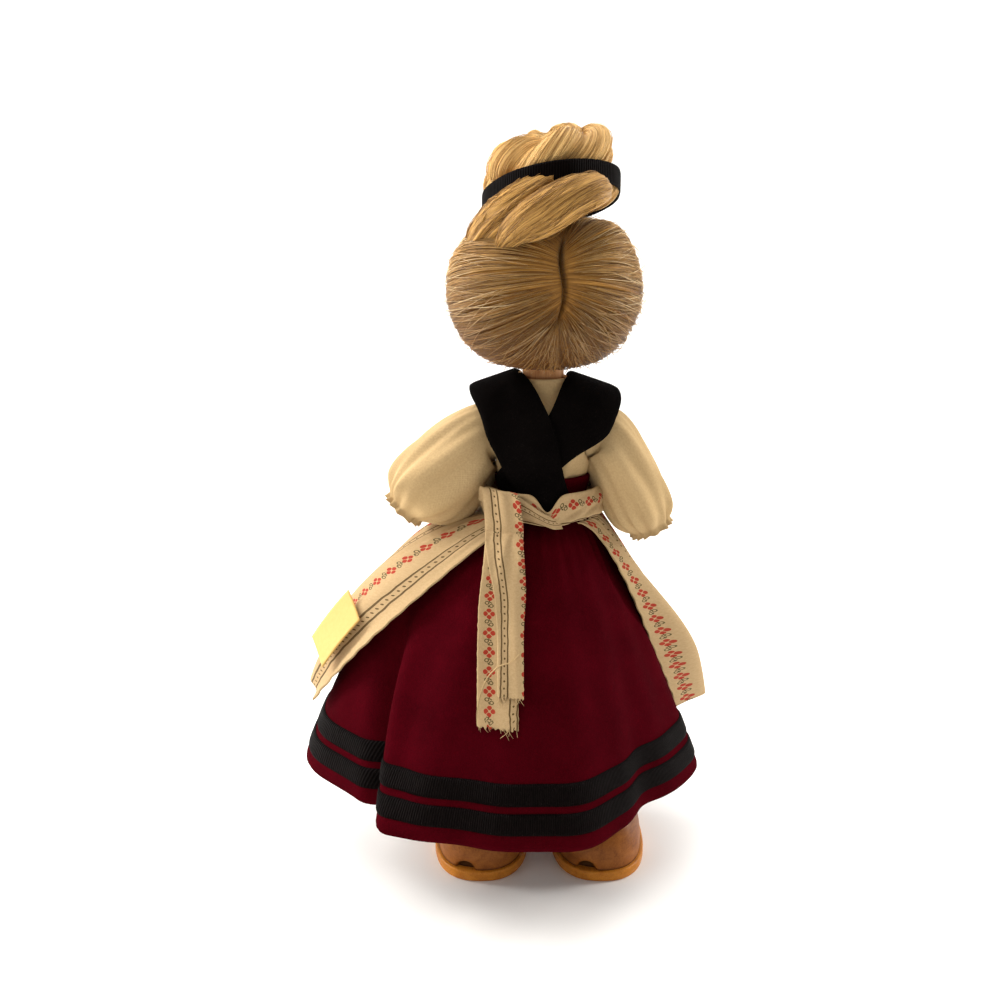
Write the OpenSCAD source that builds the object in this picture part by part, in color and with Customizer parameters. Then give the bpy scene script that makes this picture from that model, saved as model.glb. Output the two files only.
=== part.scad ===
// A small jointed peg doll of turned and carved wood in folk dress. It stands on the floor at
// z = 0 and faces -Y, so its own left is +X. All lengths are in millimetres.

/* [Wooden figure] */
// Height of the hip axis above the floor
leg_len = 84; // [80:0.5:90]
// Rise from the hip axis to the waist
waist_rise = 21; // [19:0.5:23]
// Rise from the waist to the shoulder axis
chest_rise = 17; // [16:0.5:19]
// Rise from the shoulder axis to the top of the shoulders
yoke_rise = 13; // [12:0.5:14.5]
// Length of bare neck above the shoulders
neck_len = 7; // [6.5:0.25:9]
// Radius of the turned neck
neck_r = 5.4; // [5:0.1:5.8]
// Radius of the torso at the chest
chest_r = 11; // [10.6:0.1:11.6]
// Radius of the torso at the waist
waist_r = 9.6; // [9.2:0.1:10]
// Radius of the torso at the hips
pelvis_r = 13; // [12:0.25:14]
// Depth of the torso below the hip axis
pelvis_drop = 8; // [7.5:0.25:9]
// Thickness of the tongue between the legs
tongue_w = 9; // [8:0.25:10]
// Radius of the head ball
head_r = 18.5; // [17.5:0.25:19.5]
// Width of the flat that is left around the neck under the head
neck_seat_w = 0.8; // [0.6:0.1:1.2]
// Radius of the nose peg
nose_r = 1.7; // [1.4:0.1:2.2]
// Length of the nose peg outside the face
nose_out = 1.6; // [1.2:0.1:2.4]
// Depth of the nose peg in the face
nose_in = 4; // [3:0.25:6]

/* [Pegs] */
// Radius of the neck peg
neck_peg_r = 3; // [2.5:0.1:3.5]
// Depth of the neck peg in the torso
neck_peg_in = 14; // [10:0.5:16]
// Height of the neck peg in the head
neck_peg_up = 12; // [9:0.5:16]
// Radius of the shoulder pegs
shoulder_peg_r = 2; // [1.6:0.1:2.4]
// Depth of the shoulder pegs in the torso
shoulder_peg_in = 6; // [5:0.25:7]
// Radius of the hip peg
hip_peg_r = 2.2; // [1.8:0.1:2.6]
// Radius of the peg heads
peg_head_r = 3.3; // [3:0.1:3.6]
// Thickness of the peg heads
peg_head_t = 1.3; // [1:0.1:1.6]
// Radial play where a limb or the head turns on its peg
turn_play = 0.06; // [0.03:0.01:0.09]
// Radial play where a peg is glued in its hole
glue_play = 0.02; // [0.01:0.01:0.03]
// Air between pieces that slide past each other
slide_gap = 0.35; // [0.3:0.05:0.5]

/* [Arms and legs] */
// Distance from the middle to the flat that an arm lies against
shoulder_flat = 10; // [9.7:0.1:10.3]
// Radius of the shoulder disc of an arm
shoulder_disc_r = 5.4; // [5:0.1:5.8]
// Width of the shoulder disc of an arm
shoulder_disc_w = 6; // [5.5:0.1:6.4]
// Outward reach from the left shoulder disc to the elbow
elbow_out_left = 19.5; // [18:0.5:21]
// Outward reach from the right shoulder disc to the elbow
elbow_out_right = 12.8; // [12.5:0.1:14]
// Drop from the shoulder axis to the left elbow
elbow_drop_left = 17.5; // [16.5:0.25:18]
// Drop from the shoulder axis to the right elbow
elbow_drop_right = 21.5; // [20.5:0.5:22.5]
// Swelling of the elbow around the upper arm
elbow_swell = 0.3; // [0.2:0.05:0.5]
// Radius of the upper arm
upper_arm_r = 3.4; // [3:0.1:3.8]
// Radius of the wrist
wrist_r = 2.5; // [2.2:0.1:2.8]
// Forward reach from the elbow to the wrist
forearm_len = 20; // [18:0.5:22]
// Drop from the elbow to the wrist
forearm_drop = 3; // [2:0.5:4]
// Radius of the mitten hand
hand_r = 3.6; // [3.2:0.1:4]
// Radius of the hip disc of a leg
hip_disc_r = 6.4; // [6:0.1:6.8]
// Width of the hip disc of a leg
hip_disc_w = 8; // [7.5:0.1:8.5]
// Radius of the leg below the hip
leg_r = 4; // [3.7:0.1:4.2]
// Radius of the leg at the ankle
ankle_r = 4.4; // [4:0.1:4.8]
// Distance from the middle to an ankle
foot_spread = 16.7; // [16:0.1:18]

/* [Shoes] */
// Width of a sole
sole_w = 27.5; // [26:0.5:29]
// Length of a sole
sole_len = 42; // [39:0.5:46]
// Thickness of a sole
sole_t = 3; // [2.4:0.1:3.6]
// Height of a shoe upper above its sole
shoe_h = 14; // [12:0.5:16]
// Width of the sole that shows around the upper
sole_lip = 0.9; // [0.6:0.1:1.4]
// Depth of the ankle in its shoe
ankle_in = 8; // [6:0.25:9]
// Length of the heel behind the ankle
heel_back = 19.5; // [18:0.25:20.5]
// Radius of the small arch cut in the heel of a shoe
heel_arch_r = 2.3; // [1.8:0.1:2.8]
// Depth of the small arch cut in the heel of a shoe
heel_arch_d = 1.6; // [1.2:0.1:2.2]
// Distance of the small arch from the middle of its heel
heel_arch_x = 4; // [2:0.25:6]

/* [Hair] */
// Thickness of the side hair at its fullest
hair_t = 6.3; // [5.5:0.1:7]
// Thickness of the hair on top of the head
crown_t = 1.3; // [1:0.1:1.8]
// Depth of the parting at the back
parting_d = 2.6; // [1.5:0.1:3.4]
// Radius of the bun
bun_r = 16.8; // [16:0.1:17.4]
// Height of the bun
bun_h = 20.5; // [18:0.25:23]
// Distance of the bun from the middle, to the doll's right
bun_side = 1.6; // [0:0.1:2]
// Radius of the twisted strand below the bun
twist_r = 3.2; // [2.8:0.1:3.5]
// Rise of the twisted strand from its left end to its right end
twist_rise = 4; // [3:0.25:5]
// Width of the hair ribbon
hair_ribbon_w = 5; // [4:0.25:6]
// Rise of the hair ribbon from the front to the back
hair_ribbon_rise = 9; // [6:0.5:10]
// Lean of the hair ribbon to the doll's left, in degrees
hair_ribbon_lean = 5; // [0:0.5:8]

/* [Cloth] */
// Thickness of the cotton
cotton_t = 0.7; // [0.6:0.05:0.8]
// Thickness of the wool
wool_t = 0.9; // [0.8:0.05:1]
// Thickness of the felt
felt_t = 1.2; // [1:0.05:1.3]
// Thickness of the woven ribbon
ribbon_t = 0.5; // [0.4:0.05:0.6]
// Thickness of the card of the tag
card_t = 0.5; // [0.4:0.05:0.7]
// Air between two layers of cloth
layer_gap = 0.2; // [0.15:0.01:0.25]
// Ease of the blouse around the torso
blouse_ease = 0.3; // [0.2:0.05:0.4]
// Extra width of the blouse at the shoulders
shoulder_ease = 2.6; // [2.2:0.1:3]
// Radius of an armhole of the blouse
armhole_r = 8.2; // [7.9:0.1:8.5]
// Rise of the dress bodice above the waist
bodice_rise = 7; // [6:0.25:7.5]
// Width of the apron band
band_w = 8; // [7:0.25:9]

/* [Sleeves] */
// Radius of the sleeve where it meets the armhole
sleeve_head_r = 7.4; // [7:0.1:7.6]
// Fullest half depth of a sleeve, front to back
sleeve_full = 11.5; // [10.5:0.25:12.5]
// Fullest half width of the left sleeve
sleeve_wide_left = 9.5; // [8.5:0.25:10]
// Fullest half width of the right sleeve
sleeve_wide_right = 6.8; // [6.4:0.1:7]
// Height of the gathers in a sleeve
gather_h = 0.8; // [0.4:0.1:1.1]
// Length of the frill below the gathered end of a sleeve
frill_len = 6; // [5:0.25:7]

/* [Straps] */
// Distance from the middle to the inner edge of a strap at the neck
strap_in = 7.6; // [7.4:0.1:8]
// Distance from the middle to the outer edge of a strap at the shoulder
strap_out = 19; // [18:0.25:19.5]
// Width of a strap below the neck
strap_w = 17; // [16:0.25:18]
// Fall of a strap from the neck to the shoulder tip
strap_fall = 4; // [3:0.25:4.5]

/* [Skirt] */
// Radius of the skirt at the hem on average
hem_r = 48; // [46:0.5:51]
// Height of the hem above the floor at the back
hem_z = 26; // [24:0.5:28]
// Extra height of the hem at the doll's left
hem_lift = 7; // [5:0.5:9]
// Depth of the deep fold at the back left
fold_d = 9; // [6:0.5:10]
// Width of each hem ribbon
hem_ribbon_w = 5.6; // [5:0.1:6.2]
// Wool that shows below the lower hem ribbon
hem_margin = 3.6; // [3:0.1:4.4]
// Wool that shows between the two hem ribbons
hem_ribbon_gap = 2.4; // [2:0.1:3]

/* [Apron and sash] */
// Length of the apron below its band
apron_len = 56; // [50:0.5:58]
// Distance that the apron stands off the skirt where it flares most
apron_flare = 9; // [7:0.25:10]
// Distance that the apron stands off the skirt under its band
apron_off = 3; // [2.6:0.1:3.4]
// Height of the folds in the apron
apron_fold = 1.6; // [1:0.1:2.2]
// Width of the long sash tail
tail_w = 10.5; // [9:0.25:12]
// Width of the short sash tail
tail_short_w = 7; // [6:0.25:8]
// Drop of the long sash tail below the waist
tail_long = 54; // [48:0.5:57]
// Drop of the short sash tail below the waist
tail_short = 43; // [38:0.5:46]
// Length over which the tails fall clear of the apron
tail_drape = 22; // [18:0.5:26]
// Height of the ripple along the sash tails
tail_ripple = 0.4; // [0.2:0.05:0.6]
// Distance of the sash knot from the middle, to the doll's left
knot_x = 10.5; // [8:0.25:12]
// Width of the sash knot
knot_w = 10.5; // [9:0.25:12]
// Height of the sash knot
knot_h = 11; // [10:0.25:12]
// Thickness of the sash knot
knot_t = 5; // [4:0.1:6]
// Length of the paper tag
tag_len = 19; // [16:0.5:22]
// Width of the paper tag
tag_w = 11; // [9:0.5:13]

/* [Part to draw] */
// Name of one piece of the list, or all of them

/* [Hidden] */
$fn = 48;
overrun = leg_len;

// Levels of the figure, from the floor up
hip_z = leg_len;
waist_z = hip_z + waist_rise;
shoulder_z = waist_z + chest_rise;
yoke_z = shoulder_z + yoke_rise;
head_flat_z = yoke_z + neck_len;
head_z = head_flat_z + sqrt(pow(head_r, 2) - pow(neck_r + neck_seat_w, 2));
crown_z = head_z + head_r + crown_t;
pelvis_z = hip_z - pelvis_drop;

// Outline of the turned torso as height and radius, read smoothly between its points
pelvis_end_share = 0.85;
neck_foot_share = 1.15;
chest_levels_share = [-0.2, 0.45];
yoke_r_share = 0.95;
torso_points = [[pelvis_z, pelvis_r * pelvis_end_share], [hip_z, pelvis_r],
    [waist_z - band_w / 2, waist_r], [waist_z, waist_r],
    [shoulder_z + yoke_rise * chest_levels_share[0], chest_r],
    [shoulder_z + yoke_rise * chest_levels_share[1], chest_r * yoke_r_share],
    [yoke_z, neck_r * neck_foot_share], [yoke_z + neck_len / 4, neck_r]];

function mix(a, b, t) = a + (b - a) * t;
function ease(t) = let (c = min(1, max(0, t))) c * c * (3 - 2 * c);
function table_r(table, z, i = 0) =
    i >= len(table) - 1 ? table[len(table) - 1][1]
    : z <= table[i + 1][0]
        ? mix(table[i][1], table[i + 1][1], ease((z - table[i][0]) / (table[i + 1][0] - table[i][0])))
        : table_r(table, z, i + 1);
function torso_r(z) = table_r(torso_points, z);

// A smooth reading of evenly spaced shares, around a closed ring or along an open row
function spline(a, b, c, d, t) =
    b + t / 2 * (c - a + t * (2 * a - 5 * b + 4 * c - d + t * (3 * (b - c) + d - a)));
function around(shares, angle) =
    let (n = len(shares), p = angle / 360 * n + 4 * n, i = floor(p))
    spline(shares[(i - 1) % n], shares[i % n], shares[(i + 1) % n], shares[(i + 2) % n], p - i);
function along(shares, t) =
    let (n = len(shares) - 1, p = min(1, max(0, t)) * n, i = min(n - 1, floor(p)))
    spline(shares[max(0, i - 1)], shares[i], shares[i + 1], shares[min(n, i + 2)], p - i);

// A point on a ring around the upright axis: angle 0 is the back, 90 the doll's left
function ring_point(r, angle, z) = [r * sin(angle), r * cos(angle), z];

// Layers of cloth around the torso, as distances from the wood
blouse_out = blouse_ease + cotton_t;
dress_in = blouse_out + layer_gap;
dress_out = dress_in + wool_t;
felt_low = dress_out + 3 * layer_gap / 2;
felt_high = felt_low + felt_t + 3 * layer_gap / 2;
band_in = felt_high + felt_t + layer_gap;
band_top_z = waist_z + band_w / 2;
band_low_z = waist_z - band_w / 2;
band_r = blouse_w(band_top_z) - blouse_ease + band_in;

// A closed skin between an outer and an inner grid of points; loop joins the last column to
// the first, and flip turns the faces over where the grid runs the other way round
module skin(outer, inner, loop = false, flip = false) {
    rows = len(outer);
    cols = len(outer[0]);
    count = rows * cols;
    span = loop ? cols : cols - 1;
    end = rows - 1;
    side = cols - 1;
    function at(r, c) = r * cols + c % cols;
    function quad(a, b, c, d) = [[a, b, c], [a, c, d]];
    sheet_faces = [for (r = [0 : rows - 2], c = [0 : span - 1])
        each concat(quad(at(r, c), at(r, c + 1), at(r + 1, c + 1), at(r + 1, c)),
            quad(count + at(r, c), count + at(r + 1, c), count + at(r + 1, c + 1), count + at(r, c + 1)))];
    row_rims = [for (c = [0 : span - 1])
        each concat(quad(at(0, c), count + at(0, c), count + at(0, c + 1), at(0, c + 1)),
            quad(at(end, c), at(end, c + 1), count + at(end, c + 1), count + at(end, c)))];
    col_rims = loop ? [] : [for (r = [0 : rows - 2])
        each concat(quad(at(r, 0), at(r + 1, 0), count + at(r + 1, 0), count + at(r, 0)),
            quad(at(r, side), count + at(r, side), count + at(r + 1, side), at(r + 1, side)))];
    faces = concat(sheet_faces, row_rims, col_rims);
    turned = flip ? [for (f = faces) [f[2], f[1], f[0]]] : faces;
    polyhedron(concat([for (row = outer) each row], [for (row = inner) each row]), turned, 10);
}

// A closed solid whose rows are rings of points, with a flat or rounded cap at each end
module rings(rows, flip = false) {
    cols = len(rows[0]);
    last = len(rows) - 1;
    count = len(rows) * cols;
    function at(r, c) = r * cols + c % cols;
    function middle(row) = [for (k = [0 : 2]) [for (p = row) p[k]] * [for (p = row) 1] / len(row)];
    sides = [for (r = [0 : last - 1], c = [0 : cols - 1])
        each [[at(r, c), at(r, c + 1), at(r + 1, c + 1)], [at(r, c), at(r + 1, c + 1), at(r + 1, c)]]];
    ends = [for (c = [0 : cols - 1])
        each [[at(0, c + 1), at(0, c), count], [at(last, c), at(last, c + 1), count + 1]]];
    faces = concat(sides, ends);
    turned = flip ? [for (f = faces) [f[2], f[1], f[0]]] : faces;
    polyhedron(concat([for (row = rows) each row], [middle(rows[0]), middle(rows[last])]), turned, 10);
}

// A round limb between two points
module limb(from, to, from_r, to_r) {
    d = to - from;
    translate(from)
        rotate([0, acos(d[2] / norm(d)), atan2(d[1], d[0])])
            cylinder(h = norm(d), r1 = from_r, r2 = to_r);
}

// A round bar along X between two distances from the middle
module cross_bar(from_x, to_x, r, z) {
    translate([from_x, 0, z])
        rotate([0, 90, 0])
            cylinder(h = to_x - from_x, r = r);
}

// Pieces of the wooden figure
profile_rows = 40;
module torso() {
    top_z = head_flat_z - slide_gap;
    color("burlywood")
    difference() {
        rotate_extrude()
            polygon(concat([[0, pelvis_z]],
                [for (i = [0 : profile_rows])
                    let (z = mix(pelvis_z, top_z, i / profile_rows)) [torso_r(z), z]],
                [[0, top_z]]));
        for (side = [-1, 1]) {
            // flats for the arms and clearance for the legs
            translate([side * (shoulder_flat + overrun / 2), 0, shoulder_z])
                cube([overrun, overrun, 2 * (shoulder_disc_r + slide_gap)], center = true);
            translate([side * (tongue_w + overrun) / 2, 0, hip_z + hip_disc_r + slide_gap - overrun / 2])
                cube([overrun, overrun, overrun], center = true);
            rotate([0, 0, side > 0 ? 0 : 180])
                cross_bar(shoulder_flat - shoulder_peg_in - slide_gap, overrun,
                    shoulder_peg_r + glue_play, shoulder_z);
        }
        cross_bar(-overrun, overrun, hip_peg_r + glue_play, hip_z);
        translate([0, 0, yoke_z - neck_peg_in - slide_gap])
            cylinder(h = overrun, r = neck_peg_r + glue_play);
    }
}

module neck_peg() {
    color("wheat")
    translate([0, 0, yoke_z - neck_peg_in])
        cylinder(h = neck_peg_in + neck_len + neck_peg_up, r = neck_peg_r);
}

// The head of a shoulder peg lies in a recess of the arm's disc
arm_in_x = shoulder_flat + slide_gap;
arm_out_x = arm_in_x + shoulder_disc_w;
arm_x = (arm_in_x + arm_out_x) / 2;
peg_seat_x = arm_out_x - peg_head_t;
module shoulder_peg() {
    cross_bar(shoulder_flat - shoulder_peg_in, arm_out_x, shoulder_peg_r, shoulder_z);
    cross_bar(peg_seat_x, arm_out_x, peg_head_r, shoulder_z);
}
module shoulder_peg_left() {
    color("wheat") shoulder_peg();
}
module shoulder_peg_right() {
    color("wheat") rotate([0, 0, 180]) shoulder_peg();
}

leg_in_x = tongue_w / 2 + slide_gap;
leg_out_x = leg_in_x + hip_disc_w;
module hip_peg() {
    end_x = leg_out_x + slide_gap + peg_head_t;
    color("wheat") {
        cross_bar(-end_x, end_x, hip_peg_r, hip_z);
        for (side = [0, 180])
            rotate([0, 0, side])
                cross_bar(leg_out_x + slide_gap, end_x, peg_head_r, hip_z);
    }
}

nose_drop_share = 0.06;
module nose_peg() {
    translate([0, -head_r, head_z - head_r * nose_drop_share])
        color("burlywood") {
            rotate([90, 0, 0])
                translate([0, 0, -nose_in])
                    cylinder(h = nose_in + nose_out, r = nose_r);
            translate([0, -nose_out, 0])
                sphere(r = nose_r);
        }
}

module head() {
    color("burlywood")
    difference() {
        translate([0, 0, head_z])
            sphere(r = head_r, $fn = 64);
        translate([0, 0, head_flat_z - overrun])
            cylinder(h = overrun, r = head_r);
        translate([0, 0, head_flat_z - slide_gap])
            cylinder(h = neck_peg_up + 2 * slide_gap, r = neck_peg_r + turn_play);
        translate([0, nose_in + slide_gap - head_r, head_z - head_r * nose_drop_share])
            rotate([90, 0, 0])
                cylinder(h = head_r, r = nose_r + glue_play);
    }
}

// Each arm is carved in one piece: disc, upper arm, bent elbow, forearm and mitten
wrist_in_share = 0.06;
hand_share = 0.75;
thumb_share = 0.4;
thumb_tip_share = 0.44;
arm_root = [arm_out_x - upper_arm_r / 2, 0, shoulder_z - shoulder_disc_r / 4];
function elbow(out, drop) = [arm_out_x + out, 0, shoulder_z - drop];
function wrist(out, drop) = elbow(out, drop) + [-forearm_len * wrist_in_share, -forearm_len, -forearm_drop];
module arm(out, drop) {
    palm = wrist(out, drop) + [0, -hand_r * hand_share, 0];
    thumb = palm + [-hand_r, -hand_r * hand_share, 0];
    difference() {
        union() {
            cross_bar(arm_in_x, arm_out_x, shoulder_disc_r, shoulder_z);
            limb(arm_root, elbow(out, drop), upper_arm_r, upper_arm_r);
            translate(elbow(out, drop)) sphere(r = upper_arm_r + elbow_swell);
            limb(elbow(out, drop), wrist(out, drop), upper_arm_r, wrist_r);
            translate(palm) sphere(r = hand_r);
            limb(palm, thumb, hand_r * thumb_share, hand_r * thumb_share);
            translate(thumb) sphere(r = hand_r * thumb_tip_share);
        }
        cross_bar(0, overrun, shoulder_peg_r + turn_play, shoulder_z);
        cross_bar(peg_seat_x - slide_gap, overrun, peg_head_r + slide_gap, shoulder_z);
    }
}
module arm_left() {
    color("burlywood") arm(elbow_out_left, elbow_drop_left);
}
module arm_right() {
    color("burlywood") mirror([1, 0, 0]) arm(elbow_out_right, elbow_drop_right);
}

// Each leg hangs on the hip peg and stands in its shoe
leg_x = (leg_in_x + leg_out_x) / 2;
shoe_top_z = sole_t + shoe_h;
ankle_low_z = shoe_top_z - ankle_in;
ankle_top_z = shoe_top_z + ankle_r;
module leg() {
    difference() {
        union() {
            cross_bar(leg_in_x, leg_out_x, hip_disc_r, hip_z);
            limb([foot_spread, 0, ankle_top_z], [leg_x, 0, hip_z - hip_disc_r / 2], ankle_r, leg_r);
            translate([foot_spread, 0, ankle_top_z]) sphere(r = ankle_r);
            translate([foot_spread, 0, ankle_low_z]) cylinder(h = ankle_top_z - ankle_low_z, r = ankle_r);
        }
        cross_bar(0, overrun, hip_peg_r + turn_play, hip_z);
    }
}
module leg_left() {
    color("burlywood") leg();
}
module leg_right() {
    color("burlywood") mirror([1, 0, 0]) leg();
}

// A shoe outline is a rounded oblong, broad at the toe and a little narrower at the heel
shoe_cols = 32;
toe_share = 1.0;
heel_share = 0.95;
shoe_square = 2.5;
shoe_mid_y = heel_back - sole_len / 2;
function shoe_edge(a, inset) =
    let (c = cos(a), s = sin(a),
        k = pow(pow(abs(c), shoe_square) + pow(abs(s), shoe_square), -1 / shoe_square),
        w = (sole_w / 2 - inset) * mix(toe_share, heel_share, (1 + k * s) / 2))
    [w * k * c, shoe_mid_y + (sole_len / 2 - inset) * k * s];
module sole() {
    linear_extrude(height = sole_t)
        polygon([for (i = [0 : shoe_cols - 1]) shoe_edge(i * 360 / shoe_cols, 0)]);
}
module sole_left() {
    color("peru") translate([foot_spread, 0, 0]) sole();
}
module sole_right() {
    color("peru") translate([-foot_spread, 0, 0]) mirror([1, 0, 0]) sole();
}

// The upper closes over the foot in a low dome that is highest at the instep
shoe_rise_shares = [0, 0.28, 0.55, 0.78, 0.93, 1];
shoe_draw_shares = [0, 0.01, 0.07, 0.2, 0.42, 0.66];
module shoe() {
    difference() {
        rings([for (k = [0 : len(shoe_rise_shares) - 1])
            [for (i = [0 : shoe_cols - 1])
                let (e = shoe_edge(i * 360 / shoe_cols, sole_lip), d = 1 - shoe_draw_shares[k])
                [e[0] * d, mix(0, e[1], d), sole_t + shoe_h * shoe_rise_shares[k]]]], flip = true);
        translate([0, 0, ankle_low_z - slide_gap])
            cylinder(h = overrun, r = ankle_r + glue_play);
    }
}
module heel_arch() {
    translate([heel_arch_x, heel_back - sole_lip - heel_arch_d, sole_t])
        rotate([-90, 0, 0])
            cylinder(h = overrun, r = heel_arch_r);
}
module shoe_left() {
    color("goldenrod")
    translate([foot_spread, 0, 0])
        difference() {
            shoe();
            heel_arch();
        }
}
module shoe_right() {
    color("goldenrod")
    translate([-foot_spread, 0, 0])
        difference() {
            shoe();
            heel_arch();
        }
}

// Hair: a parted wig over the head ball, a bun, a twisted strand and a ribbon
wig_cols = 40;
wig_rows = 11;
wig_low_angles = [-64, -62, -56, -48, -26, 14, 34, 40, 34, 14, -26, -48, -56, -62];
wig_top_angle = 78;
wig_fall_shares = [0.5, 0.74, 0.92, 1, 1, 0.92, 0.66, 0.3, 0.1];
wig_ring_shares = [0.9, 0.97, 1, 1, 0.84, 0.5, 0.42, 0.4, 0.42, 0.5, 0.84, 1, 1, 0.97];
parting_angle = -8;
parting_width = 13;
parting_rate = 2.4;
function wig_low(angle) = around(wig_low_angles, angle);
function wig_r(angle, lift) =
    let (t = (lift - wig_low_angles[0]) / (wig_top_angle - wig_low_angles[0]),
        full = head_r + max(crown_t, hair_t * along(wig_fall_shares, t) * around(wig_ring_shares, angle)),
        part = parting_d * exp(-pow((angle - parting_angle) / parting_width, 2)) * ease(parting_rate * t))
    min(full - min(part, (full - head_r) / 3), lift > 0 ? (head_r + crown_t) / sin(lift) : full);
function ball_point(r, angle, lift) = ring_point(r * cos(lift), angle, head_z + r * sin(lift));
module wig() {
    angles = [for (j = [0 : wig_cols - 1]) let (a = j * 360 / wig_cols) a > 180 ? a - 360 : a];
    function lift(a, i) = mix(wig_low(a), wig_top_angle, i / wig_rows);
    color("tan")
        skin([for (i = [0 : wig_rows]) [for (a = angles) ball_point(wig_r(a, lift(a, i)), a, lift(a, i))]],
            [for (i = [0 : wig_rows]) [for (a = angles) ball_point(head_r + 2 * layer_gap, a, lift(a, i))]],
            loop = true);
}

bun_z = crown_z + layer_gap;
bun_r_shares = [0.96, 1, 1, 1, 0.95, 0.82, 0.56, 0.2, 0];
bun_h_shares = [0, 0.03, 0.25, 0.55, 0.72, 0.86, 0.96, 1, 1];
module hair_bun() {
    color("tan")
    translate([-bun_side, 0, bun_z])
        rotate_extrude()
            polygon(concat([[0, 0]],
                [for (i = [0 : len(bun_r_shares) - 1])
                    [bun_r * bun_r_shares[i], bun_h * bun_h_shares[i]]]));
}

hair_ribbon_in = bun_r + layer_gap / 2;
hair_ribbon_share = 0.2;
module hair_ribbon() {
    tilt = atan(hair_ribbon_rise / (2 * bun_r));
    color("black")
    translate([-bun_side, 0, bun_z + bun_h * hair_ribbon_share])
        intersection() {
            difference() {
                cylinder(h = overrun, r = hair_ribbon_in + ribbon_t, center = true);
                cylinder(h = 2 * overrun, r = hair_ribbon_in, center = true);
            }
            rotate([tilt, hair_ribbon_lean, 0])
                cube([overrun, overrun, hair_ribbon_w], center = true);
        }
}

twist_rows = 14;
twist_sides = 8;
twist_angles = [41, -50];
twist_taper_shares = [0.3, 0.75, 1, 1, 1, 0.75, 0.3];
twist_path_r = bun_r + layer_gap + twist_r;
module hair_twist() {
    color("tan")
        rings([for (i = [0 : twist_rows])
            let (t = i / twist_rows,
                a = mix(twist_angles[0], twist_angles[1], t),
                z = crown_z + layer_gap + twist_rise * t,
                r = twist_r * along(twist_taper_shares, t))
            [for (k = [0 : twist_sides - 1])
                let (b = k * 360 / twist_sides)
                ring_point(twist_path_r + r * cos(b), a, z + r * sin(b)) - [bun_side, 0, 0]]]);
}

// Clothes on the torso
function blouse_d(z) = torso_r(z) + blouse_ease;
function blouse_w(z) =
    blouse_d(z) + shoulder_ease * ease((z - waist_z) / chest_rise) * ease(2 * (yoke_z - z) / yoke_rise);
function blouse_ring(z, out) =
    [for (j = [0 : blouse_cols - 1])
        let (a = j * 360 / blouse_cols) [(blouse_w(z) + out) * sin(a), (blouse_d(z) + out) * cos(a), z]];
blouse_rows = 9;
blouse_cols = 32;
collar_share = 0.3;
module blouse() {
    low_z = band_low_z + layer_gap;
    top_z = yoke_z + neck_len * collar_share;
    levels = [for (i = [0 : blouse_rows]) mix(low_z, top_z, i / blouse_rows)];
    color("cornsilk")
    difference() {
        skin([for (z = levels) blouse_ring(z, cotton_t)], [for (z = levels) blouse_ring(z, 0)], loop = true);
        cross_bar(-overrun, overrun, armhole_r, shoulder_z);
    }
}

dress_rows = 4;
dress_low_z = band_low_z;
module dress_bodice() {
    levels = [for (i = [0 : dress_rows]) mix(dress_low_z, waist_z + bodice_rise, i / dress_rows)];
    color("maroon")
        skin([for (z = levels) blouse_ring(z, dress_out - blouse_ease)],
            [for (z = levels) blouse_ring(z, dress_in - blouse_ease)], loop = true);
}

// Felt lies in an upright sheet that bends around the waist and flattens towards the shoulders
felt_flat = 3;
felt_least_share = 0.05;
function felt_y(x, z, off) =
    let (level = min(z, shoulder_z),
        d = blouse_d(level) - blouse_ease + off,
        w = (blouse_w(level) - blouse_ease + off) * mix(1, felt_flat, ease((z - band_top_z) / chest_rise)))
    d * sqrt(max(felt_least_share, 1 - pow(x / w, 2)));
front_w_share = 0.68;
front_turn = 70;
front_top_share = 0.75;
front_rows = 6;
front_cols = 8;
module felt_front() {
    half = band_r * front_w_share;
    function sheet_row(i, off) = let (t = i / front_rows)
        [for (j = [0 : front_cols])
            let (u = 2 * j / front_cols - 1,
                z = mix(dress_low_z, mix(shoulder_z, waist_z + chest_rise * front_top_share, pow(u, 2)), t),
                x = half * sin(front_turn * u) / sin(front_turn))
            [x, -felt_y(x, z, off), z]];
    color("black")
        skin([for (i = [0 : front_rows]) sheet_row(i, felt_low + felt_t)],
            [for (i = [0 : front_rows]) sheet_row(i, felt_low)], flip = true);
}

// A strap runs from the front of the waist over the shoulder and slants across the back
strap_rows = 21;
strap_cols = 7;
strap_front_share = 1 / 3;
strap_back_share = 2 / 3;
strap_cap_share = 0.2;
strap_top_share = 0.2;
strap_over_shares = [0.37, 0.42, 0.47, 0.67, 0.335, 0.12, -0.13];
strap_under_shares = [0.37, 0.42, 0.47, 0.7, 0.42, -0.24, -0.06];
strap_width_shares = [0.5, 0.52, 0.55, 0.75, 1, 0.87, 0.76];
cap_z = shoulder_z + yoke_rise * strap_cap_share;
function strap_point(s, u, mids, front_off, back_off) =
    let (x = strap_out * along(mids, s) + strap_w * along(strap_width_shares, s) * u,
        reach = min(1, max(0, (x - strap_in) / (strap_out - strap_in))),
        top_z = yoke_z + neck_len * strap_top_share - strap_fall * reach,
        turn = 180 * (s - strap_front_share) / (strap_back_share - strap_front_share),
        off = mix(front_off, back_off, ease(turn / 180)))
    s <= strap_front_share
        ? let (z = mix(dress_low_z, cap_z, s / strap_front_share)) [x, -felt_y(x, z, front_off), z]
    : s <= strap_back_share
        ? [x, -cos(turn) * felt_y(x, shoulder_z, off), mix(cap_z, top_z + off - felt_low, sin(turn))]
        : let (z = mix(cap_z, dress_low_z, (s - strap_back_share) / (1 - strap_back_share)))
            [x, felt_y(x, z, back_off), z];
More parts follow.
